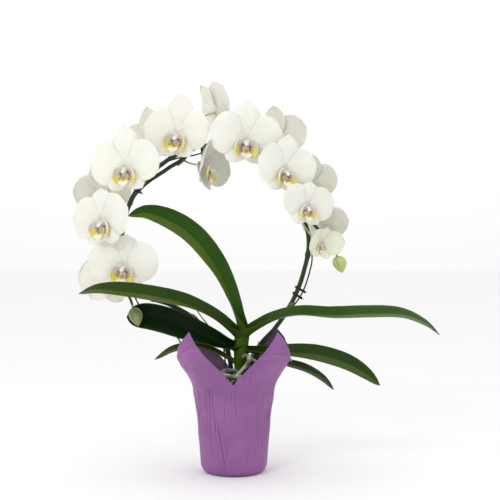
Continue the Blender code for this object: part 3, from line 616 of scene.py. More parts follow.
def spots(node, scale, detail=4.0, roughness=0.55, vector=None):
    """Noise over the object's own coordinates, or over a vector."""
    place = vector or node("ShaderNodeTexCoord").outputs["Object"]
    inputs = {"Vector": place, "Scale": scale, "Detail": detail, "Roughness": roughness}
    return node("ShaderNodeTexNoise", inputs).outputs["Fac"]


def vein_wave(node, across, wander, scale, count):
    """A wave across a blade whose lines stray a little as they run along."""
    stray = math_node(node, "MULTIPLY", spots(node, scale), wander)
    fan = math_node(node, "MULTIPLY", math_node(node, "ADD", across, stray), count)
    return math_node(node, "SINE", fan)


def tepal_material(name, colour, vein):
    """Slightly waxy white with fine veins that fan out from the foot. mark is (along, across, seed)."""
    material, node, fill = new_material(name)
    parts = split(node, attribute(node, "mark"))
    wave = vein_wave(node, parts["Y"], 0.14, 60.0, 34.0)
    thin = spread(node, wave, 0.0, 1.0, 0.72, 1.0)
    fade = spread(node, parts["X"], 0.0, 1.0, 1.0, 0.15)
    lines = math_node(node, "MULTIPLY", thin, fade)
    base = multiply(node, colour, attribute(node, "tint", "Color"))
    cloud = ramp(node, spots(node, 45.0, 3.0), [(0.3, (0.955, 0.955, 0.935)), (0.7, (1.0, 1.0, 1.0))])
    base = multiply(node, base, cloud)
    grain = math_node(node, "MULTIPLY", spots(node, 900.0, 2.0), 0.25)
    relief = math_node(node, "SUBTRACT", grain, lines)
    fill({
        "Base Color": mix_colour(node, math_node(node, "MULTIPLY", lines, 0.24), base, vein),
        "Normal": bump(node, relief, 0.35, 0.0006),
        "Roughness": spread(node, spots(node, 200.0), 0.5, 0.68),
        "Specular IOR Level": 0.3,
        "Subsurface Weight": 0.35,
        "Subsurface Radius": (0.9, 1.0, 0.6),
        "Subsurface Scale": 0.0015,
        "Sheen Weight": 0.12,
        "Sheen Roughness": 0.5,
    })
    return material


def painted_material(name, roughness, grain_scale, grain, specular, subsurface):
    """Takes its colour from the tint, broken up by fine noise."""
    material, node, fill = new_material(name)
    cloud = ramp(node, spots(node, grain_scale, 5.0), [(0.3, (0.8, 0.8, 0.78)), (0.62, (1.0, 1.0, 1.0))])
    fill({
        "Base Color": multiply(node, attribute(node, "tint", "Color"), cloud, grain),
        "Normal": bump(node, spots(node, grain_scale * 3), 0.3, 0.0004),
        "Roughness": spread(node, spots(node, grain_scale), roughness - 0.08, roughness + 0.1),
        "Specular IOR Level": specular,
    })
    if subsurface:
        fill({
            "Subsurface Weight": subsurface,
            "Subsurface Radius": (1.0, 0.8, 0.4),
            "Subsurface Scale": 0.002,
        })
    return material


def leaf_material():
    """Waxy dark green with fine lengthwise veins. mark is (along, across, 0)."""
    material, node, fill = new_material("leaf_surface")
    mark = attribute(node, "mark")
    veins = spread(node, vein_wave(node, split(node, mark)["Y"], 0.2, 25.0, 70.0), 0.0, 1.0, -1.0, 1.0)
    streak = node("ShaderNodeMapping", {"Vector": mark, "Scale": (3.0, 26.0, 1.0)}).outputs[0]
    streaks = spots(node, 1.6, 4.0, 0.6, streak)
    light = ramp(node, streaks, [(0.3, (0.78, 0.8, 0.76)), (0.72, (1.16, 1.12, 1.1))])
    base = multiply(node, attribute(node, "tint", "Color"), light)
    blotch = ramp(node, spots(node, 14.0, 3.0), [(0.35, (0.82, 0.86, 0.8)), (0.7, (1.05, 1.03, 1.0))])
    base = multiply(node, base, blotch)
    pits = math_node(node, "MULTIPLY", spots(node, 1300.0, 2.0), 0.5)
    fill({
        "Base Color": mix_colour(node, math_node(node, "MULTIPLY", veins, 0.16), base, (0.02, 0.04, 0.008)),
        "Normal": bump(node, math_node(node, "ADD", pits, veins), 0.22, 0.0005),
        "Roughness": spread(node, spots(node, 60.0), 0.3, 0.46),
        "Specular IOR Level": 0.13,
    })
    return material


def paper_material():
    """Crinkled, slightly waxed paper. mark is (painted shade in the creases, painted highlight on the
    ridges, 0).
    """
    material, node, fill = new_material("cover_paper_surface")
    parts = split(node, attribute(node, "mark"))
    cloud = ramp(node, spots(node, 22.0, 5.0), [(0.3, (0.88, 0.86, 0.88)), (0.7, (1.08, 1.08, 1.06))])
    base = multiply(node, attribute(node, "tint", "Color"), cloud)
    place = node("ShaderNodeTexCoord").outputs["Object"]
    upright = node("ShaderNodeMapping", {"Vector": place, "Scale": (1.0, 1.0, 0.25)}).outputs[0]
    fibres = spots(node, 900.0, 3.0, 0.6, upright)
    base = multiply(node, base, ramp(node, fibres, [(0.35, (0.9, 0.88, 0.9)), (0.65, (1.04, 1.04, 1.04))]))
    # painted shade in the creases
    base = mix_colour(node, parts["X"], base, (0.085, 0.02, 0.1))
    # a painted highlight on the ridges beside the creases
    ridge_highlight = math_node(node, "MULTIPLY", parts["Y"], 0.4)
    relief = math_node(node, "ADD", fibres, spots(node, 110.0, 5.0, 0.65))
    fill({
        "Base Color": mix_colour(node, ridge_highlight, base, (0.46, 0.22, 0.48)),
        "Normal": bump(node, relief, 0.4, 0.0007),
        "Roughness": spread(node, fibres, 0.5, 0.72),
        "Sheen Weight": 0.06,
        "Sheen Roughness": 0.45,
        "Sheen Tint": (0.95, 0.8, 0.95, 1.0),
    })
    return material


def plastic_material():
    """The dark moulded plastic of the nursery pot."""
    material, node, fill = new_material("pot_plastic_surface")
    cloud = ramp(node, spots(node, 40.0), [(0.3, (0.028, 0.02, 0.02)), (0.7, (0.05, 0.036, 0.034))])
    fill({
        "Base Color": cloud,
        "Normal": bump(node, spots(node, 700.0), 0.2, 0.0003),
        "Roughness": spread(node, spots(node, 90.0), 0.4, 0.6),
    })
    return material


def floor_material():
    material, node, fill = new_material("floor_surface")
    fill({
        "Base Color": ramp(node, spots(node, 3.0), [(0.3, (0.86, 0.86, 0.86)), (0.7, (0.88, 0.88, 0.88))]),
        "Roughness": 0.9,
        "Specular IOR Level": 0.1,
    })
    return material


# --- flowers ---

# angle, length, width, foot and belly of the outline, how blunt its tip is, how far forward it stands
TEPAL_SHAPES = {
    "dorsal": (90, 0.54, 0.4, 0.34, 0.54, 2.0, -0.012),
    "right": (13, 0.52, 0.575, 0.16, 0.5, 2.4, 0.012),
    "left": (167, 0.52, 0.575, 0.16, 0.5, 2.4, 0.012),
    "low_right": (-52, 0.39, 0.35, 0.4, 0.5, 1.9, -0.012),
    "low_left": (-128, 0.39, 0.35, 0.4, 0.5, 1.9, -0.012),
}
TEPAL_ROWS, TEPAL_COLUMNS = 20, 17
POINTED_TIP = 1.6
PINKISH = (0.985, 0.945, 0.93)


def tepal_outline(u, foot, belly, blunt):
    """The half width of a tepal, as a share of its widest, at a share of its length."""
    grow = foot + (1 - foot) * ease(u / belly) ** 0.8
    power = 0.75 if blunt == POINTED_TIP else 0.5
    return grow * max(0.0, 1 - max(0.0, (u - belly) / (1 - belly)) ** blunt) ** power + 0.015


def tepal_tone(u, v, pink, green, painted_shade):
    tone = mix((0.88, 0.91, 0.66), (0.97, 0.975, 0.94), u * 6)
    tone = mix(tone, (1, 1, 1), (u - 0.15) * 2)
    tone = mix(tone, PINKISH, pink)
    tone = mix(tone, (0.97, 0.985, 0.95), abs(v) * 0.6)
    tone = mix(tone, (0.9, 0.94, 0.62), green * (0.25 + 0.75 * abs(v) ** 3))
    # painted shade: the whole colour is scaled by the flower's factor, darker for flowers in shade
    return tuple(c * painted_shade for c in tone)


def add_tepal(shape, flower_matrix, span, cup, spec, draw, turn_back, tones):
    """A dished, ruffled blade with a furrow from its foot; `tones` is its pink, green and painted shade (a
    factor on its colour).
    """
    degrees, length, width, foot, belly, blunt, lift = spec
    way = math.radians(degrees + draw.uniform(-3, 3))
    length *= span * draw.uniform(0.97, 1.03)
    half = width * span * draw.uniform(0.96, 1.03) / 2
    phase, wave = draw.uniform(0, math.tau), draw.uniform(0.5, 1.2)
    seed = draw.uniform(0, 50)
    rows, marks, tints = [], [], []
    for i in range(TEPAL_ROWS):
        u = 1 - (1 - i / (TEPAL_ROWS - 1)) ** 1.5
        reach = tepal_outline(u, foot, belly, blunt)
        row = []
        for j in range(TEPAL_COLUMNS):
            v = math.sin(math.pi / 2 * (2 * j / (TEPAL_COLUMNS - 1) - 1))
            ruffle = 1 + 0.018 * math.sin(7 * u + phase) * v * v
            along, across = u * length * ruffle, v * half * reach * ruffle
            along -= 0.05 * length * v * v * ease(u * 1.5)
            x = along * math.cos(way) - across * math.sin(way)
            y = along * math.sin(way) + across * math.cos(way)
            edge = abs(v) ** 2.5 * ease(u * 2)
            z = cup * (x * x + y * y) / span + lift * span * ease(u * 4)
            z += span * (0.034 * math.sin(math.pi * u) * (1 - v * v) - turn_back * edge)
            z += span * 0.013 * wave * math.sin(2.2 * math.pi * u + phase + 2.5 * v) * edge
            z -= span * 0.013 * math.exp(-((v * reach / 0.07) ** 2)) * (1 - u)
            z += 1.3 * noise.noise(Vector((x / 17, y / 17, seed)))
            row.append(flower_matrix @ Vector((x, y, z)))
            marks.append((u, v * (0.35 + 0.65 * reach), seed))
            tints.append(tepal_tone(u, v, *tones))
        rows.append(row)

    def thick(i, j):
        return 0.75 if 0 < j < TEPAL_COLUMNS - 1 and i < TEPAL_ROWS - 1 else 0.3

    points, faces = sheet(rows, thick)
    shape.add(points, faces, marks * 2, tints * 2)


def add_stalk(shape, flower_matrix, spike, degrees):
    """The pedicel, thicker where it meets the flower, from the back of the tepals to the spike."""
    fine = smooth_route(stalk_route(flower_matrix, spike, degrees), 3.0)
    last = len(fine) - 1
    radii, tints = [], []
    for i in range(last + 1):
        swell = blend([(0, 1.9), (0.12, 1.25), (0.8, 0.95), (0.93, 1.25), (1, 1.5)], i / last)
        radii.append(PEDICEL_RADIUS * swell)
        tone = mix(PEDICEL_PALE, PEDICEL_GREEN, i / last)
        tints += [mix(tone, (0.13, 0.18, 0.06), 0.35 * (i / last) ** 3)] * PEDICEL_SIDES
    points, faces = tube(fine, radii, PEDICEL_SIDES)
    shape.add(points, faces, None, tints, 1)


PEDICEL_PALE, PEDICEL_GREEN, PEDICEL_SIDES = (0.62, 0.66, 0.42), (0.2, 0.27, 0.09), 12
CREAM, YELLOW, PALE_YELLOW = (0.82, 0.76, 0.55), (0.8, 0.68, 0.08), (0.86, 0.83, 0.42)
WINE, BROWN = (0.17, 0.045, 0.1), (0.33, 0.14, 0.05)
LIP_WHITE, PALE_GREY, PINK_WHITE = (0.84, 0.82, 0.68), (0.6, 0.61, 0.52), (0.86, 0.79, 0.78)


def lip_lobe(shape, place, side, draw):
    """One of the two side lobes: a curved sheet that stands up round the throat."""
    rows, columns = 22, 14
    phase = draw.uniform(0, 6)

    def cell(a, b):
        turn = math.radians(-50 + 122 * a)
        rise = b * (0.35 + 0.65 * math.sin(math.pi * (0.1 + 0.8 * a)) ** 0.7)
        r = 0.045 + 0.1 * math.sin(min(1.0, rise * 1.15) * math.pi / 2)
        r -= 0.018 * max(0.0, rise - 0.8) * 5 * (1 - a)
        z = 0.012 + 0.1 * rise**1.4 + 0.012 * math.sin(5 * a + phase) * rise
        flake = noise.noise(Vector((a * 7, b * 6, phase)))
        stripe = 0.5 + 0.5 * math.sin(34 * a + 3 * flake)
        throat = mix(mix(BROWN, WINE, a * 1.4), CREAM, stripe * 0.9 + 1.8 * (b - 0.22))
        low = mix(YELLOW, PALE_YELLOW, (b - 0.62) * 2.6)
        high = mix(PALE_GREY, PINK_WHITE, (b - 0.5) * 2.2)
        outer = mix(low, high, (a - 0.4 + 0.2 * flake) * 5)
        spot = place(side * r * math.cos(turn) * 1.02, -0.035 + r * math.sin(turn) * 0.95, z)
        return spot, mix(throat, outer, (b - 0.2) * 4.5)

    grid, tints = patch(rows, columns, cell)
    points, faces = sheet(grid, lambda i, j: 0.9 if 0 < i < rows - 1 and j < columns - 1 else 0.4)
    shape.add(points, faces, None, tints * 2)


def lip_tongue(shape, place, draw):
    """The middle lobe: a short arrow-shaped tongue with two curled tips."""
    columns = 11
    phase = draw.uniform(0, 6)
    widths = [(0, 0.03), (0.25, 0.04), (0.5, 0.068), (0.68, 0.06), (0.85, 0.028), (1, 0.008)]

    def cell(a, b):
        v = 2 * b - 1
        x = v * blend(widths, a)
        y = -0.05 - 0.115 * a
        z = 0.03 + 0.085 * math.sin(a * 1.9) + 0.022 * v * v * (1 - a) - 0.012 * (1 - v * v) * a
        speck = noise.noise(Vector((x * 150, y * 150, phase)))
        tone = mix(PALE_YELLOW, BROWN, (speck + 0.2) * 2.2)
        tone = mix(tone, YELLOW, (abs(v) - 0.5) * 3)
        return place(x, y, z), mix(tone, LIP_WHITE, (a - 0.3) * 4)

    grid, tints = patch(18, columns, cell)
    points, faces = sheet(grid, lambda i, j: 1.1 if 0 < j < columns - 1 else 0.5)
    shape.add(points, faces, None, tints * 2)
    tip = ((0.004, -0.16, 0.108), (0.012, -0.17, 0.1), (0.02, -0.168, 0.088), (0.022, -0.158, 0.08))
    for side in (-1, 1):
        route = smooth_route([place(side * x, y, z) for x, y, z in tip], 0.8)
        points, faces = tube(route, 0.35, 6)
        shape.add(points, faces, None, [LIP_WHITE] * len(points))


def lip_callus(shape, place, span):
    """Two low speckled bumps between the lobes."""
    for side in (-1, 1):
        route = [place(side * 0.014, -0.035 - 0.008 * k, 0.035 + 0.012 * k) for k in range(6)]
        points, faces = tube(route, [span * 0.013 * r for r in (0.3, 0.8, 1.0, 1.0, 0.75, 0.25)], 10)
        tints = [mix(YELLOW, BROWN, noise.noise(Vector(p) * 0.9) * 3 + 0.35) for p in points]
        shape.add(points, faces, None, tints)


def lip_column(shape, place, span):
    """The column above the lip, with its rounded cap."""
    heights = ((0.045, -0.004), (0.04, 0.02), (0.03, 0.05), (0.017, 0.075), (0.004, 0.09), (-0.004, 0.096))
    route = [place(0.0, y, z) for y, z in heights]
    radii = [span * r for r in (0.034, 0.033, 0.029, 0.028, 0.022, 0.008)]
    sides = 14
    points, faces = tube(route, radii, sides)
    tints = []
    for i, middle in enumerate(route):
        tone = (0.84, 0.76, 0.75) if i < 4 else (0.86, 0.84, 0.76)
        for point in points[i * sides:(i + 1) * sides]:
            low = point.z < middle.z - 0.3 * radii[i]
            tints.append(mix(tone, WINE, 0.6) if low and i < 5 else tone)
    shape.add(points, faces, None, tints)


LIP_RISES = {"flower_09": 0.1}  # out of the flower, as a share of its span


def add_lip_piece(flower, materials):
    """The lip and the column above it."""
    name = flower[0] + "_lip"
    span = FLOWER_SPAN * flower[4] * ADJUSTED[flower[0]][2]
    matrix = placed_frame(flower)
    draw = random.Random(name)
    size = 0.9 if flower[0] in GREENISH else 1.12
    rise = LIP_RISES.get(flower[0], 0.0)

    def place(x, y, z):
        return matrix @ (Vector((x, y - 0.085, z * 0.85 + 0.01 + rise)) * span * size)

    shape = Shape()
    for side in (-1, 1):
        lip_lobe(shape, place, side, draw)
    lip_tongue(shape, place, draw)
    lip_callus(shape, place, span)
    lip_column(shape, place, span * size)
    make_piece(name, shape, [materials["lip"]], "lip", name)


# how a flower differs from its table row: to the right, up, size, length of the dorsal sepal, and painted
# shade (below 1 darkens its colour for shade, above 1 lightens it)
ADJUSTED = {
    "flower_01": (0.0, 1.0, 0.98, 0.8, 0.97),
    "flower_02": (-2.0, -5.0, 1.0, 0.84, 0.98),
    "flower_03": (1.0, -1.0, 1.02, 1.04, 1.0),
    "flower_04": (-2.0, 0.0, 1.02, 1.08, 0.99),
    "flower_05": (0.0, -1.0, 1.0, 1.0, 0.99),
    "flower_06": (3.0, 0.0, 0.97, 0.95, 0.99),
    "flower_07": (0.0, 0.0, 0.96, 0.76, 0.97),
    "flower_08": (-5.0, -4.0, 1.0, 0.72, 0.97),
    "flower_09": (-3.0, 8.0, 1.1, 1.3, 0.84),
    "flower_10": (4.0, -10.0, 1.0, 1.0, 1.0),
    "flower_11": (1.0, 0.0, 0.9, 1.0, 0.93),
    "flower_12": (3.0, 2.0, 0.86, 1.18, 1.0),
    "flower_13": (-2.0, 0.0, 0.98, 1.0, 1.03),
    "flower_14": (-5.0, 0.0, 0.95, 1.0, 0.94),
    "flower_15": (-2.0, -5.0, 0.88, 0.9, 0.93),
    "flower_16": (-3.0, -3.0, 0.88, 0.9, 0.94),
}
TILTS = {"flower_12": -15, "flower_13": -13}  # degrees, as seen from the front
POINTED = {("flower_09", "low_left"), ("flower_09", "low_right")}
POINTED |= {("flower_12", "dorsal"), ("flower_13", "dorsal")}
CUPS = {"flower_08": 0.95}
GREENISH = ("flower_08",)  # the youngest, not fully open


def placed_frame(flower):
    """Where a flower stands, with its own small difference."""
    right, up = ADJUSTED[flower[0]][:2]
    return Matrix.Translation((right, 0, up)) @ flower_frame(flower)


def add_flower_piece(flower, routes, materials):
    name, cup, spike, stalk = flower[0], *flower[8:]
    _, _, size, dorsal, painted_shade = ADJUSTED[name]
    span = FLOWER_SPAN * flower[4] * size
    matrix = placed_frame(flower)
    draw = random.Random(name)
    pink = 0.6 if spike == "back_spike" else draw.choice((0.0, 0.15, 0.4))
    # the last tone is the flower's painted shade
    tones = (pink, 0.8 if name in GREENISH else 0.0, painted_shade)
    turn_back = 0.012 if cup < 0.5 else 0.0
    leaning = matrix
    if name in TILTS:
        middle = matrix.translation
        lean = Matrix.Rotation(math.radians(TILTS[name]), 4, "Y")
        leaning = Matrix.Translation(middle) @ lean @ Matrix.Translation(-middle) @ matrix
    shape = Shape()
    for key in ("dorsal", "low_right", "low_left", "right", "left"):
        degrees, length, width, foot, belly, blunt, lift = TEPAL_SHAPES[key]
        if key == "dorsal":
            length *= dorsal
        if (name, key) in POINTED:
            blunt = POINTED_TIP
        spec = (degrees, length, width, foot, belly, blunt, lift)
        add_tepal(shape, leaning, span, CUPS.get(name, cup), spec, draw, turn_back, tones)
    add_stalk(shape, matrix, routes[spike], stalk)
    make_piece(name, shape, [materials["petal"], materials["stem"]], "petal", name)


# --- stems ---

SPIKE_SWELL = 1.33  # how much thicker than its CAD solid a spike is
# where the joints of each spike are, as shares of its length, and its colour
SPIKES = [
    ("back_spike", (0.07, 0.17, 0.27, 0.4, 0.53, 0.66, 0.79), (0.034, 0.064, 0.02)),
    ("front_spike", (0.06, 0.15, 0.24, 0.37, 0.5, 0.62, 0.75), (0.032, 0.062, 0.02)),
]
WIRE_GREEN, CLIP_GREEN = (0.016, 0.02, 0.017), (0.012, 0.016, 0.013)
EAR_RADIUS = 0.7


def stem_tints(points, base, seed):
    shaded = (base[0] * 0.55, base[1] * 0.6, base[2] * 0.7)
    return [mix(base, shaded, 0.5 + noise.noise(Vector(p) * 0.05 + Vector((seed, 0, 0)))) for p in points]


def add_bract(shape, centre, along, spin, radius, base):
    """A small dry sheath that hugs the stem at a joint."""
    side = along.cross(Vector((0, 1, 0))).normalized()
    up = along.cross(side)

    def cell(t, b):
        turn = spin + (2 * b - 1) * 1.9 * (1 - t) ** 0.7
        spot = on_circle(centre + along * (9.0 * t - 0.5), radius + 0.25 + 0.9 * t * t, turn, side, up)
        return spot, mix(base, (0.34, 0.32, 0.17), 0.35 + 0.6 * t)

    grid, tints = patch(8, 9, cell)
    points, faces = sheet(grid, lambda i, j: 0.4)
    shape.add(points, faces, None, tints * 2)


def add_spike_piece(name, spike, joints, base, materials):
    """A spike, swollen a little at each joint, with a bract there."""
    fine, route, radii = spike
    last = len(fine) - 1
    shape = Shape()
    sizes = []
    joints = [round(share * last) for share in joints]
    for i, place in enumerate(fine):
        radius = SPIKE_SWELL * radii[route.index(nearest(route, place))]
        for at in joints:
            radius += 0.55 * math.exp(-(((i - at) / 1.6) ** 2))
        sizes.append(radius)
    sizes[0] *= 1.1
    points, faces = tube(fine, sizes, 16)
    shape.add(points, faces, None, stem_tints(points, base, len(name)))
    ways = tangents(fine)
    for n, at in enumerate(joints):
        add_bract(shape, fine[at], ways[at], n * 2.4, sizes[at], base)
    make_piece(name, shape, [materials["stem"]], "spike", name)


def add_wire_piece(materials):
    shape = Shape()
    points, faces = tube(smooth_route(wire_route(), 3.0), WIRE_RADIUS, 12)
    shape.add(points, faces, None, [WIRE_GREEN] * len(points))
    make_piece("wire_hoop", shape, [materials["wire"]], "hoop_wire", "wire_hoop")


def add_twig_piece(materials):
    shape = Shape()
    fine = smooth_route(twig_route(), 2.0)
    last = len(fine) - 1
    swells = [1.15 - 0.45 * i / last + 0.12 * noise.noise(p * 0.3) for i, p in enumerate(fine)]
    radii = [TWIG_RADIUS * swell for swell in swells]
    points, faces = tube(fine, radii, 12)
    tints = [mix((0.09, 0.1, 0.05), (0.2, 0.17, 0.1), 0.5 + noise.noise(p * 0.15)) for p in points]
    shape.add(points, faces, None, tints)
    make_piece("support_twig", shape, [materials["stem"]], "spike", "support_twig")


def oval_ring(middle, long_axis, short_axis, radius, around=48, sides=10):
    """A closed ring of flat wire: an oval with full corners."""
    points, faces = [], []
    axis = long_axis.cross(short_axis).normalized()
    for i in range(around):
        turn = math.tau * i / around
        wide, high = (math.copysign(math.sqrt(abs(part)), part) for part in (math.cos(turn), math.sin(turn)))
        place = middle + wide * long_axis + high * short_axis
        out = math.cos(turn) * long_axis.normalized() + math.sin(turn) * short_axis.normalized()
        points += [on_circle(place, radius, math.tau * k / sides, out, 2.4 * axis) for k in range(sides)]
        here, there = i * sides, (i + 1) % around * sides
        for k in range(sides):
            beside = (k + 1) % sides
            faces.append((here + k, there + k, there + beside, here + beside))
    return points, faces


def clip_rings(routes):
    """Each clip's name, middle, and the half axes of the ring that holds the stems."""
    wire = smooth_route(wire_route(), 2.0)
    back = routes["back_spike"][0]
    across = SPIKE_RADIUS + CLIP_RADIUS + CLIP_PLAY
    for name, degrees in (("clip_right_lower", 326.5), ("clip_right_upper", 330.5)):
        one, two = nearest(back, on_hoop(degrees, 8, 7)), nearest(wire, on_hoop(degrees, 16, 3))
        apart = two - one
        along = Vector((-math.sin(math.radians(degrees)), 0, math.cos(math.radians(degrees))))
        apart -= along * apart.dot(along)
        way = apart.normalized()
        middle = one + apart * 0.5 + way * (WIRE_RADIUS - SPIKE_RADIUS) / 2
        long_half = apart.length / 2 + (SPIKE_RADIUS + WIRE_RADIUS) / 2 + CLIP_RADIUS + CLIP_PLAY + STEM_SAG
        yield name, middle, way * long_half, apart.cross(along).normalized() * (across + STEM_SAG)
    for name, degrees in (("clip_left", 147), ("clip_top", 97.5)):
        turn = math.radians(degrees)
        outs = [front_lane(degrees), back_lane(degrees), wire_lane(degrees) - SPIKE_RADIUS]
        low, high = min(outs), max(outs)
        long_axis = Vector((math.cos(turn), 0, math.sin(turn))) * ((high - low) / 2 + across)
        yield name, on_hoop(degrees, (low + high) / 2, 0), long_axis, Vector((0, 1, 0)) * (LANE + across)


def add_clip_pieces(routes, materials):
    """Spring clips: a flat ring round the stems and two small ears to squeeze."""
    for name, middle, long_axis, short_axis in clip_rings(routes):
        bodies = [oval_ring(middle, long_axis, short_axis, CLIP_RADIUS)]
        ear_way, beside = long_axis.normalized(), short_axis.normalized()
        if name in ("clip_left", "clip_top"):
            ear_way = -ear_way
        for side in (-1, 1):
            start = middle + ear_way * long_axis.length + side * 1.4 * beside
            ear = [start - ear_way * 0.5, start + ear_way * 1.2, start + ear_way * 2.6 + side * 0.9 * beside]
            bodies.append(tube(smooth_route(ear, 0.7), EAR_RADIUS, 8))
        shape = Shape()
        for points, faces in bodies:
            shape.add(points, faces, None, [CLIP_GREEN] * len(points))
        make_piece(name, shape, [materials["clip"]], "clip_plastic", name)


def add_bud_piece(name, route, along, length, width, neck, tone, materials):
    """A bud with the seams of its three outer sepals."""
    root = route[-1] + along * (GAP + 0.1)
    start = root + along * neck
    side = along.cross(Vector((0, 1, 0))).normalized()
    up = along.cross(side)
    rings, around = 22, 36
    points, tints = [], []
    for i in range(rings + 1):
        t = i / rings
        swell = math.sin(math.pi * min(0.985, 0.05 + 0.95 * t ** 0.86)) ** 0.72
        swell = max(0.09, swell * (1 - 0.18 * t))
        for k in range(around):
            turn = math.tau * k / around
            seam = abs(math.sin(1.5 * turn))
            groove = 0.11 * math.exp(-((seam / 0.16) ** 2)) * math.sin(math.pi * t)
            r = width / 2 * (swell * (1 - groove) * (1 + 0.05 * math.cos(3 * turn + math.pi)))
            centre = start + along * length * t + side * 1.2 * math.sin(math.pi * t)
            points.append(on_circle(centre, r, turn, side, up))
            n = noise.noise(points[-1] * 0.25)
            green = mix(tone, (tone[0] * 1.3, tone[1] * 1.2, tone[2] * 1.5), t + 0.3 * n)
            # painted shade: darker in the grooves of the seams
            tints.append(mix(green, (tone[0] * 0.55, tone[1] * 0.62, tone[2] * 0.5), groove * 6))
    shape = Shape()
    shape.add(points, ring_faces(rings + 1, around), None, tints)
    points, faces = tube([root, root + along * neck * 0.5, start + along * 1.5], [1.3, 1.2, 1.7], 12)
    shape.add(points, faces, None, [mix(tone, (0.1, 0.14, 0.04), 0.6)] * len(points))
    make_piece(name, shape, [materials["bud"]], "bud", name)


# --- leaves, crown and roots ---

LEAF_ROWS, LEAF_COLUMNS = 72, 21
SHEATH = 20.0  # how much of a leaf clasps the crown
LEAF_FOOT, LEAF_RIM, LEAF_UNDER = (0.045, 0.118, 0.0), (0.11, 0.15, 0.04), (0.06, 0.115, 0.016)
# how many times LEAF_FOLD a blade is folded along its length
LEAF_CLOSING = [(0, 3.7), (0.08, 3.2), (0.22, 1.9), (0.45, 1.1), (0.8, 0.8), (1, 0.6)]
# the colours of the two halves of each blade's fold, as painted shade then painted light; leaf_3's face, in
# shade, is almost black, with painted highlight at its curled edges
LEAF_SHADE_AND_LIGHT = {
    "leaf_1": ((0.026, 0.085, 0.004), (0.08, 0.14, 0.01)),
    "leaf_2": ((0.02, 0.058, 0.0), (0.072, 0.105, 0.006)),
    "leaf_3": ((0.0, 0.012, 0.0), (0.006, 0.034, 0.0)),
    "leaf_4": ((0.026, 0.08, 0.002), (0.1, 0.15, 0.022)),
    "leaf_5": ((0.024, 0.062, 0.006), (0.065, 0.11, 0.02)),
    "leaf_6": ((0.022, 0.05, 0.003), (0.045, 0.078, 0.01)),
    "leaf_7": ((0.055, 0.07, 0.006), (0.085, 0.1, 0.012)),
}
BLUNT_LEAVES = ("leaf_3",)


def leaf_width(share, widest):
    outline = [(0, 0.76), (0.06, 0.72), (0.12, 0.68), (0.2, 0.7), (0.3, 0.78), (0.4, 0.88), (0.5, 0.97)]
    outline += [(0.6, 1.0), (0.7, 0.985), (0.78, 0.92), (0.85, 0.8), (0.91, 0.62), (0.96, 0.38), (1, 0.03)]
    return widest * blend(outline, share)


def even_rows(route, count):
    """Places at even distances along a route."""
    total = sum((b - a).length for a, b in zip(route, route[1:]))
    wanted = [total * i / (count - 1) for i in range(count)]
    picks, gone = [], 0.0
    for a, b in zip(route, route[1:]):
        step = (b - a).length
        while len(picks) < count and wanted[len(picks)] <= gone + step + 1e-6:
            picks.append(a.lerp(b, min(1.0, (wanted[len(picks)] - gone) / step)))
        gone += step
    return picks + [route[-1]] * (count - len(picks))


def leaf_tone(name, v, side, risen):
    """The colour at a share of the half width, with painted shade on one half of the fold and painted light
    on the other; `risen` is 0 at the foot and 1 on the free blade.
    """
    shaded_tone, lit_tone = LEAF_SHADE_AND_LIGHT[name]
    # painted shade on one half of the fold, painted light on the other; for leaf_3, a painted highlight at
    # the edges
    tone = mix(shaded_tone, lit_tone, abs(v) ** 6 if name == "leaf_3" else ease((side * v + 0.06) * 5))
    # painted shade: darker along the midrib, in the crease of the fold
    tone = mix(tone, mix(shaded_tone, (0, 0.01, 0), 0.45), 0.75 * math.exp(-((v / 0.05) ** 2)))
    tone = mix(tone, LEAF_RIM, 0.8 * max(0.0, (abs(v) - 0.93) / 0.07))
    return mix(LEAF_FOOT, tone, risen)


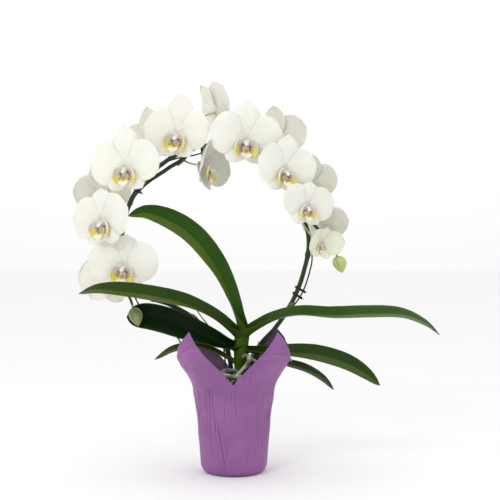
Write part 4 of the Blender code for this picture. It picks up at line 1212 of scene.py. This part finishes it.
def add_leaf_piece(leaf, materials):
    """A thick folded blade that clasps the crown at its foot."""
    name, share, way, length, widest, course, foot_turn, tip_turn = leaf
    out = Vector((way[0], way[1], 0)).normalized()
    side = 1 if way[0] > 0 else -1
    crown = Vector((CROWN_X, CROWN_Y, crown_z(share)))
    foot = crown + (out * (crown_radius(share) * 0.9 + 1.2) if share < 1 else Vector((-2.5, 0, 1.0)))
    places = [foot + length * Vector((side * a, -f, u)) for a, u, f in course]
    sheath = [foot - Vector((0, 0, 1)) * drop + out * 0.8 * drop / 20 for drop in (22.0, 12.0)]
    picks = even_rows(smooth_route([*sheath, *places], 1.5), LEAF_ROWS)
    clasp = SHEATH / (length + 22.0)
    seed = len(name) + share * 9 + length
    grid, marks, tints = [], [], []
    ways = tangents(picks)
    for i, (place, along) in enumerate(zip(picks, ways)):
        s = i / (LEAF_ROWS - 1)
        blade = max(0.0, (s - clasp) / (1 - clasp))
        above = Vector((-side * along.z, 0, side * along.x))
        turn = math.radians(foot_turn + (tip_turn - foot_turn) * blade)
        normal = math.cos(turn) * Vector((0, -1, 0)) + math.sin(turn) * above
        normal = normal.lerp(-out, 1 - ease((s - clasp * 0.6) / (clasp * 2.2)))
        normal = (normal - along * normal.dot(along)).normalized()
        across = along.cross(normal)
        reach = blade
        if name in BLUNT_LEAVES and blade > 0.7:
            reach = 0.7 + 0.3 * ((blade - 0.7) / 0.3) ** 2.2
        half = leaf_width(reach, widest) * (1.0 if s > clasp else 0.75 + 0.25 * s / clasp)
        fold = LEAF_FOLD * blend(LEAF_CLOSING, blade)
        row = []
        for j in range(LEAF_COLUMNS):
            v = 2 * j / (LEAF_COLUMNS - 1) - 1
            lift = half * (abs(v) ** 1.25) * math.sin(fold) - half * 0.1 * v**4 * blade
            lift += 0.35 * math.sin(blade * 19 + seed) * abs(v) ** 3 * ease(blade * 3)
            spread_out = math.copysign(abs(v) ** 0.95, v) * half * math.cos(fold * abs(v) ** 0.3)
            row.append(place + across * spread_out + normal * lift)
            marks.append((s * length / 100, v * half / 20, 0.0))
            tints.append(leaf_tone(name, v, side, s / (clasp * 1.9)))
        grid.append(row)
    under = [mix(t, LEAF_UNDER, 0.4) for t in tints]

    def thick(i, j):
        v = 2 * j / (LEAF_COLUMNS - 1) - 1
        return 0.35 + 1.75 * (1 - abs(v) ** 2.2) * (1 - 0.5 * i / LEAF_ROWS)

    points, faces = sheet(grid, thick)
    first_is_top = (points[0] - points[len(points) // 2]).dot(ways[0].cross(grid[0][-1] - grid[0][0])) > 0
    shape = Shape()
    shape.add(points, faces, marks * 2, (tints + under) if first_is_top else (under + tints))
    make_piece(name, shape, [materials["leaf"]], "leaf", name)


def blend_tone(stops, x):
    return tuple(blend([(at, tone[c]) for at, tone in stops], x) for c in range(3))


def add_crown_piece(materials):
    """The short stem under the clasping leaves, ringed with old leaf scars."""
    widths = [(0, 8.8), (0.3, 9.6), (0.6, 10.2), (0.8, 9.4), (0.92, 7.6), (1, 4.0)]
    tones = [(0, (0.045, 0.05, 0.014)), (0.25, (0.055, 0.105, 0.005)), (1, (0.055, 0.15, 0.0))]
    shares = [i / 39 for i in range(40)]
    route = [Vector((CROWN_X, CROWN_Y, crown_z(share * 1.02) - 4 * (1 - share))) for share in shares]
    radii = [blend(widths, share) + 0.35 * abs(math.sin(share * 17)) for share in shares]
    points, faces = tube(route, radii, 30)
    marks, tints = [], []
    for p in points:
        turn = math.atan2(p.y, p.x - CROWN_X)
        tone = blend_tone(tones, (p.z - crown_z(0)) / CROWN_HEIGHT)
        seam = abs(math.sin(0.11 * p.z + 1.1 * turn))
        tone = mix(tone, (0.02, 0.04, 0.003), 0.7 * math.exp(-((seam / 0.12) ** 2)))
        tints.append(mix(tone, (0.04, 0.08, 0.004), 0.3 + 0.8 * noise.noise(p * 0.2)))
        marks.append((p.z / 60, turn, 0))
    shape = Shape()
    shape.add(points, faces, marks, tints)
    make_piece("crown_stem", shape, [materials["leaf"]], "leaf", "crown_stem")


ROOT_SWELL, ROOT_SIDES = 1.22, 16  # how much thicker than its CAD solid a root is, and its sides


def add_root_piece(root, materials):
    """A thick aerial root: silver-green felt with brown patches and a green tip."""
    name, radius, degrees, share, places = root
    turn = math.radians(degrees)
    out = Vector((math.cos(turn), math.sin(turn), 0))
    crown = Vector((CROWN_X, CROWN_Y, crown_z(share)))
    reach = crown_radius(share) - 1.5
    places = [Vector((x, y, medium_top(x, y) + h)) for x, y, h in places]
    fine = smooth_route([crown + out * reach, crown + out * (reach + 5), *places], 1.3)
    last = len(fine) - 1
    radii = []
    for i, p in enumerate(fine):
        t = i / last
        end = 1.0 if t < 0.93 else math.sqrt(max(0.02, 1 - ((t - 0.93) / 0.07) ** 2))
        radii.append(ROOT_SWELL * radius * (1.06 - 0.22 * t) * end * (1 + 0.14 * noise.noise(p * 0.16)))
    points, faces = tube(fine, radii, ROOT_SIDES)
    bumpy, tints = [], []
    for n, p in enumerate(points):
        i = n // ROOT_SIDES
        wob = 1 + 0.09 * noise.noise(p * 0.5) + 0.05 * noise.noise(p * 1.3)
        bumpy.append(fine[i] + (p - fine[i]) * wob)
        patch = noise.noise(p * 0.11 + Vector((3, 1, 7)))
        tone = mix((0.33, 0.34, 0.26), (0.5, 0.5, 0.43), 0.5 + 1.2 * noise.noise(p * 0.35))
        tone = mix(tone, (0.15, 0.12, 0.08), (patch - 0.12) * 3)
        tints.append(mix(tone, (0.16, 0.19, 0.08), (i / last - 0.88) * 6))
    shape = Shape()
    shape.add(bumpy, faces, None, tints)
    make_piece(name, shape, [materials["root"]], "root", name)


# --- pot, medium and cover ---

BARK_CHIPS = 260
BARK_TONES = [(0.07, 0.045, 0.033), (0.045, 0.028, 0.02), (0.1, 0.07, 0.05), (0.03, 0.02, 0.017)]


def add_medium_piece(materials):
    """Bark: a rough mound with loose chips on it."""
    draw = random.Random(11)
    shape = Shape()
    floor = POT_FLOOR + POT_WALL + GAP
    edge = medium_radius(POT_TOP - MEDIUM_BELOW_RIM)
    profile = [(0, floor + 1), (34.0, floor + 1), (medium_radius(20.0) - 1, 20.0)]
    profile.append((edge - 0.6, POT_TOP - 12.0))
    profile += [(edge * s / 40, medium_top(edge * s / 40, 0)) for s in range(40, 0, -1)]
    profile.append((0, medium_top(0, 0)))
    points, faces = revolve(profile, 96)
    rough, tints = [], []
    for p in points:
        p = Vector(p)
        if p.z > POT_TOP - 11:
            inside = ease((edge - p.xy.length) / 5)
            p.z += inside * (2.6 * noise.noise(p * 0.16) + 1.4 * noise.noise(p * 0.45) - 1.2)
        rough.append(p)
        tints.append(mix((0.022, 0.016, 0.013), (0.06, 0.04, 0.03), 0.5 + noise.noise(p * 0.3)))
    shape.add(rough, faces, None, tints)
    for _ in range(BARK_CHIPS):
        r = (edge - 6) * math.sqrt(draw.random())
        turn = draw.uniform(0, math.tau)
        x, y = r * math.cos(turn), r * math.sin(turn)
        size = Vector((draw.uniform(3.5, 9), draw.uniform(3, 6), draw.uniform(1.4, 3.2)))
        tilt = Matrix.Rotation(draw.uniform(0, math.tau), 4, "Z")
        for axis in "XY":
            tilt = tilt @ Matrix.Rotation(draw.uniform(-0.6, 0.6), 4, axis)
        centre = Vector((x, y, medium_top(x, y) + draw.uniform(-1.4, 0.9)))
        add_chip(shape, centre, tilt, size, draw.choice(BARK_TONES), draw)
    make_piece("growing_medium", shape, [materials["bark"]], "bark", "growing_medium")


def add_chip(shape, centre, tilt, size, tone, draw):
    """A lump of bark: a box with cut corners and rough faces."""
    seed = draw.uniform(0, 99)
    rings, around = [(-1.0, 0.55), (-0.8, 0.9), (0.0, 1.0), (0.75, 0.92), (1.0, 0.5)], 10
    points = []
    for height, wide in rings:
        for k in range(around):
            turn = math.tau * k / around
            c, s = math.cos(turn), math.sin(turn)
            square = 1 / max(abs(c), abs(s)) ** 0.6
            across = square * wide / 2
            spot = Vector((c * across * size.x, s * across * size.y, height * size.z / 2))
            spot *= 1 + 0.22 * noise.noise(spot * 0.5 + Vector((seed, 0, 0)))
            points.append(centre + tilt @ spot)
    dry = (tone[0] * 1.8, tone[1] * 1.7, tone[2] * 1.6)
    tints = [mix(tone, dry, 0.5 + noise.noise(p * 0.4)) for p in points]
    shape.add(points, ring_faces(len(rings), around), None, tints)


COVER_TURNS = 460
COVER_VALLEY = POT_TOP + COVER_VALLEY_RISE
# heights and radii of the rings of the paper's rounded bottom
BOTTOM = [(0.0, 1.5), (0.0, 14.0), (0.0, 26.0), (0.0, 33.5), (0.3, 37.5)]
BOTTOM += [(1.1, 40.6), (2.6, 43.3), (4.6, 45.2), (7.2, 46.7), (10.5, 47.8)]
WALL_RINGS, FLAP_RINGS = 60, 36
WALL_CREASES, FLAP_CREASES = 130, 60
FLAP_BEND = 180.0  # the height at which the flaps bend in
FLAT_RINGS = 6  # of the bottom, where the paper's thickness is upright
PAPER_THICK = 0.5
# the paper's own colour, and a darker colour that is painted shadow of the pot's rim seen through the paper
PAPER, PAPER_RIM_SHADOW = (0.28, 0.098, 0.305), (0.2, 0.085, 0.225)
# painted light: a lighter colour for the back of the paper; painted shade: a dark colour for the inside of
# the sleeve
PAPER_LIT_AT_BACK, PAPER_INSIDE_SHADE = (0.34, 0.125, 0.33), (0.05, 0.02, 0.06)


def crease_lines(draw):
    """Long slanting folds in the paper: turn, low end, high end, slant per millimetre, depth and width."""
    lines = []
    for _ in range(WALL_CREASES):
        turn = draw.uniform(0, math.tau)
        low = draw.uniform(2, 118)
        high = min(low + draw.uniform(12, 80), 138.0)
        slant, depth, width = draw.gauss(0, 0.0028), draw.uniform(0.2, 1.0), draw.uniform(0.7, 1.6)
        lines.append((turn, low, high, slant, depth, width))
    for _ in range(FLAP_CREASES):
        turn = draw.uniform(0, math.tau)
        low = draw.uniform(124, 150)
        high = low + draw.uniform(12, 40)
        lines.append((turn, low, high, draw.gauss(0, 0.01), draw.uniform(0.2, 0.8), 1.4))
    return lines


def soft_radius(height):
    """The paper's radius with its bends rounded off."""
    if height < 20:
        return cover_radius(height)
    reach = min(12.0, (height - 20) / 2)
    return sum(cover_radius(height + reach * k / 4) for k in range(-4, 5)) / 9


def cover_grid(turns):
    """Heights and radii of the paper's rings: its rounded bottom, its wall and its flaps."""
    low = BOTTOM[-1][0]
    wall = [low + (COVER_VALLEY - low) * i / WALL_RINGS for i in range(1, WALL_RINGS + 1)]
    level = BOTTOM + [(height, soft_radius(height)) for height in wall]
    heights = [[height] * COVER_TURNS for height, _ in level]
    radii = [[radius] * COVER_TURNS for _, radius in level]
    for share in (i / FLAP_RINGS for i in range(1, FLAP_RINGS + 1)):
        ring = [COVER_VALLEY + (cover_top(turn) - COVER_VALLEY) * share for turn in turns]
        heights.append(ring)
        radii.append([soft_radius(height) for height in ring])
    return np.array(heights), np.array(radii)


def paper_folds(z, r, wide):
    """How much painted shade a crease gets, how much painted highlight a ridge gets and how far out the
    paper is pushed, over the rings.
    """
    crease_shade, ridge_highlight, push = np.zeros_like(z), np.zeros_like(z), np.zeros_like(z)
    for turn, low, high, slant, depth, width in crease_lines(random.Random(5)):
        away = ((wide - turn - slant * (z - low) + math.pi) % math.tau - math.pi) * r
        along = np.clip((z - low) / 8, 0, 1) * np.clip((high - z) / 8, 0, 1)
        line = np.clip(1 - np.abs(away) / (0.35 + width * 0.35), 0, 1) * along
        side = np.clip(1 - np.abs(away - width) / width, 0, 1) * along
        # painted shade in each crease and a painted highlight on the ridge beside it
        crease_shade = np.maximum(crease_shade, line * (0.3 + depth * 0.75))
        ridge_highlight = np.maximum(ridge_highlight, side * depth)
        push += -depth * 0.9 * np.clip(1 - np.abs(away) / width, 0, 1) * along + 0.45 * depth * side
    # the fold round the flaps, where they bend in: painted shade along it, a painted highlight just below
    # it, and a dent
    bent = z - FLAP_BEND - 6 * np.sin(wide * 3 + 1) - 2 * np.sin(wide * 13)
    fold = np.exp(-((bent / 0.9) ** 2)) * (0.25 + 0.35 * np.sin(wide * 11) * np.sin(wide * 4.3))
    crease_shade = np.maximum(crease_shade, np.clip(fold, 0, 1))
    ridge_highlight = np.maximum(ridge_highlight, np.exp(-(((bent + 2.4) / 1.4) ** 2)) * 0.5)
    return crease_shade, ridge_highlight, push - 1.1 * np.exp(-((bent / 2.2) ** 2))


def paper_swell(height, turn):
    """The soft bulges of the paper, held back where it hugs the pot."""
    spot = Vector((math.cos(turn), math.sin(turn), height / 58))
    soft = 1.3 * noise.noise(spot * 2.6) + 0.55 * noise.noise(spot * 8)
    if height > COVER_VALLEY - 6:
        free = ease((height - COVER_VALLEY + 6) / 30)
        soft += 1.6 * noise.noise(spot * 3.6 + Vector((9, 0, 0))) * free
    return soft * (0.45 + 0.55 * ease((height - COVER_VALLEY + 18) / 36))


def paper_tone(height, turn, inside):
    front = math.cos(turn + math.pi / 2)
    # painted shadow: a darker band where the pot's rim stands behind the paper, stronger at the front
    rim_shadow = math.exp(-((height - 119) / 7) ** 4) * 0.3
    tone = mix(PAPER, PAPER_RIM_SHADOW, rim_shadow * (0.5 + 0.5 * front))
    # painted light: the paper is lighter towards the back
    tone = mix(tone, PAPER_LIT_AT_BACK, 0.5 - 0.5 * front)
    # painted shade: the inside of the sleeve is darkened
    return mix(tone, PAPER_INSIDE_SHADE, 0.8) if inside else tone


def add_cover_piece(materials):
    """The paper cover: one crinkled sheet with four pointed flaps."""
    turns = np.arange(COVER_TURNS) * math.tau / COVER_TURNS
    z, r = cover_grid(turns)
    rows = len(z)
    crease_shade, ridge_highlight, push = paper_folds(z, r, np.tile(turns, (rows, 1)))
    shift = np.where(z > 3, push, 0.0)
    for i in range(len(BOTTOM) + 2, rows):
        shift[i] += [paper_swell(height, turn) for height, turn in zip(z[i], turns)]
    outer = r + np.clip(shift, -1.15, 2.2)
    points, marks, tints = [], [], []
    for inset in (0.0, PAPER_THICK):
        for i in range(rows):
            inwards, upwards = (0.0, inset) if i < FLAT_RINGS else (inset, 0.0)
            for k, turn in enumerate(turns):
                radius = outer[i, k] - inwards
                points.append(Vector((radius * math.cos(turn), radius * math.sin(turn), z[i, k] + upwards)))
                marks.append((float(crease_shade[i, k]) * 0.95, float(ridge_highlight[i, k]), 0.0))
                tints.append(paper_tone(z[i, k], turn, inset > 0))
    count, top = rows * COVER_TURNS, (rows - 1) * COVER_TURNS
    faces = []
    for i in range(rows - 1):
        for k in range(COVER_TURNS):
            a, b = i * COVER_TURNS + k, i * COVER_TURNS + (k + 1) % COVER_TURNS
            faces.append((a, b, b + COVER_TURNS, a + COVER_TURNS))
            faces.append((count + a, count + a + COVER_TURNS, count + b + COVER_TURNS, count + b))
    for k in range(COVER_TURNS):
        a, b = top + k, top + (k + 1) % COVER_TURNS
        faces.append((a, b, count + b, count + a))
    faces.append(tuple(range(COVER_TURNS)))
    faces.append(tuple(range(count, count + COVER_TURNS)))
    shape = Shape()
    shape.add(points, faces, marks, tints)
    make_piece("pot_cover", shape, [materials["paper"]], "cover_paper", "pot_cover")


def add_pot_piece(materials):
    """The moulded nursery pot: a rounded foot, a tapering wall and a rim rolled over a little."""
    foot = [(30.0, POT_FLOOR), (35.5, 1.3), (39.0, 2.2), (42.0, 4.4)]
    foot += [(44.0, 7.0), (45.4, 10.5), (46.2, 14.0)]
    side = [(pot_radius(z), z) for z in (24.0, 60.0, 100.0, 113.6, 114.4, 118.0, 122.0)]
    rim = [(57.4, 123.4), (56.9, 124.1), (56.2, 124.1), (55.8, 123.4)]
    outer = [(0.0, POT_FLOOR), *foot, *side, *rim]
    inner = [(pot_radius(z) - POT_WALL, z) for z in (118.0, 114.6, 113.0, 100.0, 60.0, 24.0)]
    inner += [(r - POT_WALL * 0.8, z + POT_WALL * 0.5) for r, z in foot[:0:-1]]
    points, faces = revolve([*outer, *inner, (0.0, POT_FLOOR + POT_WALL)], 96)
    shape = Shape()
    shape.add([Vector(p) for p in points], faces)
    make_piece("nursery_pot", shape, [materials["plastic"]], "pot_plastic", "nursery_pot")


# --- studio ---


FLOOR_REACH = 14.0  # metres from its middle to its edges
WORLD, WORLD_BACK, WORLD_TOP = 0.68, 0.3, 0.58  # the sky's strength, and how it grows towards +Y and +Z
LIGHTS = [
    ("key", (-0.9, -1.6, 1.5), 0.9, 12.0),
    ("fill", (1.3, -1.2, 0.9), 1.2, 2.5),
]
LIGHTS_AIM = Vector((0.0, 0.0, 0.28))
CAMERA_PLACE = (0.0232, -1.4, 0.32)
LENS, SENSOR = 69.5, 36.0


def stand(name, data, place=(0.0, 0.0, 0.0), turn=(0.0, 0.0, 0.0)):
    """An object of the studio, by its data, place in metres and rotation."""
    placed = bpy.data.objects.new(name, data)
    placed.location = place
    placed.rotation_euler = turn
    bpy.context.scene.collection.objects.link(placed)
    return placed


def add_floor():
    mesh = bpy.data.meshes.new("floor")
    corners = [(x * FLOOR_REACH, y * FLOOR_REACH, 0) for x, y in ((-1, -1), (1, -1), (1, 1), (-1, 1))]
    mesh.from_pydata(corners, [], [(0, 1, 2, 3)])
    mesh.materials.append(floor_material())
    stand("floor", mesh)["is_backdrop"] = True


def add_sky():
    """Soft white light, brighter from behind and from above."""
    world = bpy.data.worlds.new("studio")
    world.use_nodes = True
    plug, node = node_tools(world.node_tree)
    way = split(node, node("ShaderNodeTexCoord").outputs["Generated"])
    behind = node("ShaderNodeMath", {0: way["Y"], 1: WORLD_BACK, 2: WORLD}, operation="MULTIPLY_ADD")
    above = {0: way["Z"], 1: WORLD_TOP, 2: behind.outputs[0]}
    strength = node("ShaderNodeMath", above, operation="MULTIPLY_ADD").outputs[0]
    plug(world.node_tree.nodes["Background"], {"Color": (1.0, 1.0, 1.0, 1.0), "Strength": strength})
    bpy.context.scene.world = world


def add_studio():
    add_floor()
    add_sky()
    for name, place, size, power in LIGHTS:
        lamp = bpy.data.lights.new(name, "AREA")
        lamp.shape = "DISK"
        lamp.size = size
        lamp.energy = power
        stand(name, lamp, place, (LIGHTS_AIM - Vector(place)).to_track_quat("-Z", "Y").to_euler())
    camera = bpy.data.cameras.new("camera")
    camera.lens = LENS
    camera.sensor_width = SENSOR
    bpy.context.scene.camera = stand("camera", camera, CAMERA_PLACE, (math.pi / 2, 0, 0))
    bpy.context.scene.view_settings.view_transform = "Standard"


PETAL, PETAL_VEIN = (0.85, 0.845, 0.795), (0.62, 0.63, 0.52)
# roughness, how fine and how deep the grain is, shine, and how much light sinks in
PAINTED = {
    "lip": (0.45, 380.0, 0.4, 0.35, 0.2),
    "stem": (0.42, 220.0, 0.7, 0.25, 0.0),
    "wire": (0.4, 300.0, 0.4, 0.3, 0.0),
    "clip": (0.42, 300.0, 0.4, 0.25, 0.0),
    "bud": (0.45, 160.0, 0.6, 0.3, 0.15),
    "root": (0.8, 260.0, 0.9, 0.3, 0.0),
    "bark": (0.85, 320.0, 1.0, 0.3, 0.0),
}


def main():
    materials = {name: painted_material(name + "_surface", *values) for name, values in PAINTED.items()}
    materials["petal"] = tepal_material("petal_surface", PETAL, PETAL_VEIN)
    materials["leaf"] = leaf_material()
    materials["paper"] = paper_material()
    materials["plastic"] = plastic_material()
    add_studio()
    add_cover_piece(materials)
    add_medium_piece(materials)
    add_pot_piece(materials)
    add_crown_piece(materials)
    for leaf in LEAVES:
        add_leaf_piece(leaf, materials)
    for root in ROOTS:
        add_root_piece(root, materials)
    routes = spike_routes()
    for name, joints, base in SPIKES:
        add_spike_piece(name, routes[name], joints, base, materials)
    add_wire_piece(materials)
    add_twig_piece(materials)
    add_clip_pieces(routes, materials)
    back, front = routes["back_spike"][1], routes["front_spike"][1]
    add_bud_piece("bud_left", back, LEFT_BUD_WAY, 27, 22, 4, (0.22, 0.26, 0.09), materials)
    add_bud_piece("bud_right", front, RIGHT_BUD_WAY, 25, 22, 6, (0.46, 0.52, 0.17), materials)
    for flower in FLOWERS:
        add_flower_piece(flower, routes, materials)
        add_lip_piece(flower, materials)


def write_sizes():
    boxes = {"cad": CAD_BOX, "visual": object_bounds()}
    plain = {name: [list(corner) for corner in corners] for name, corners in boxes.items()}


main()
write_sizes()
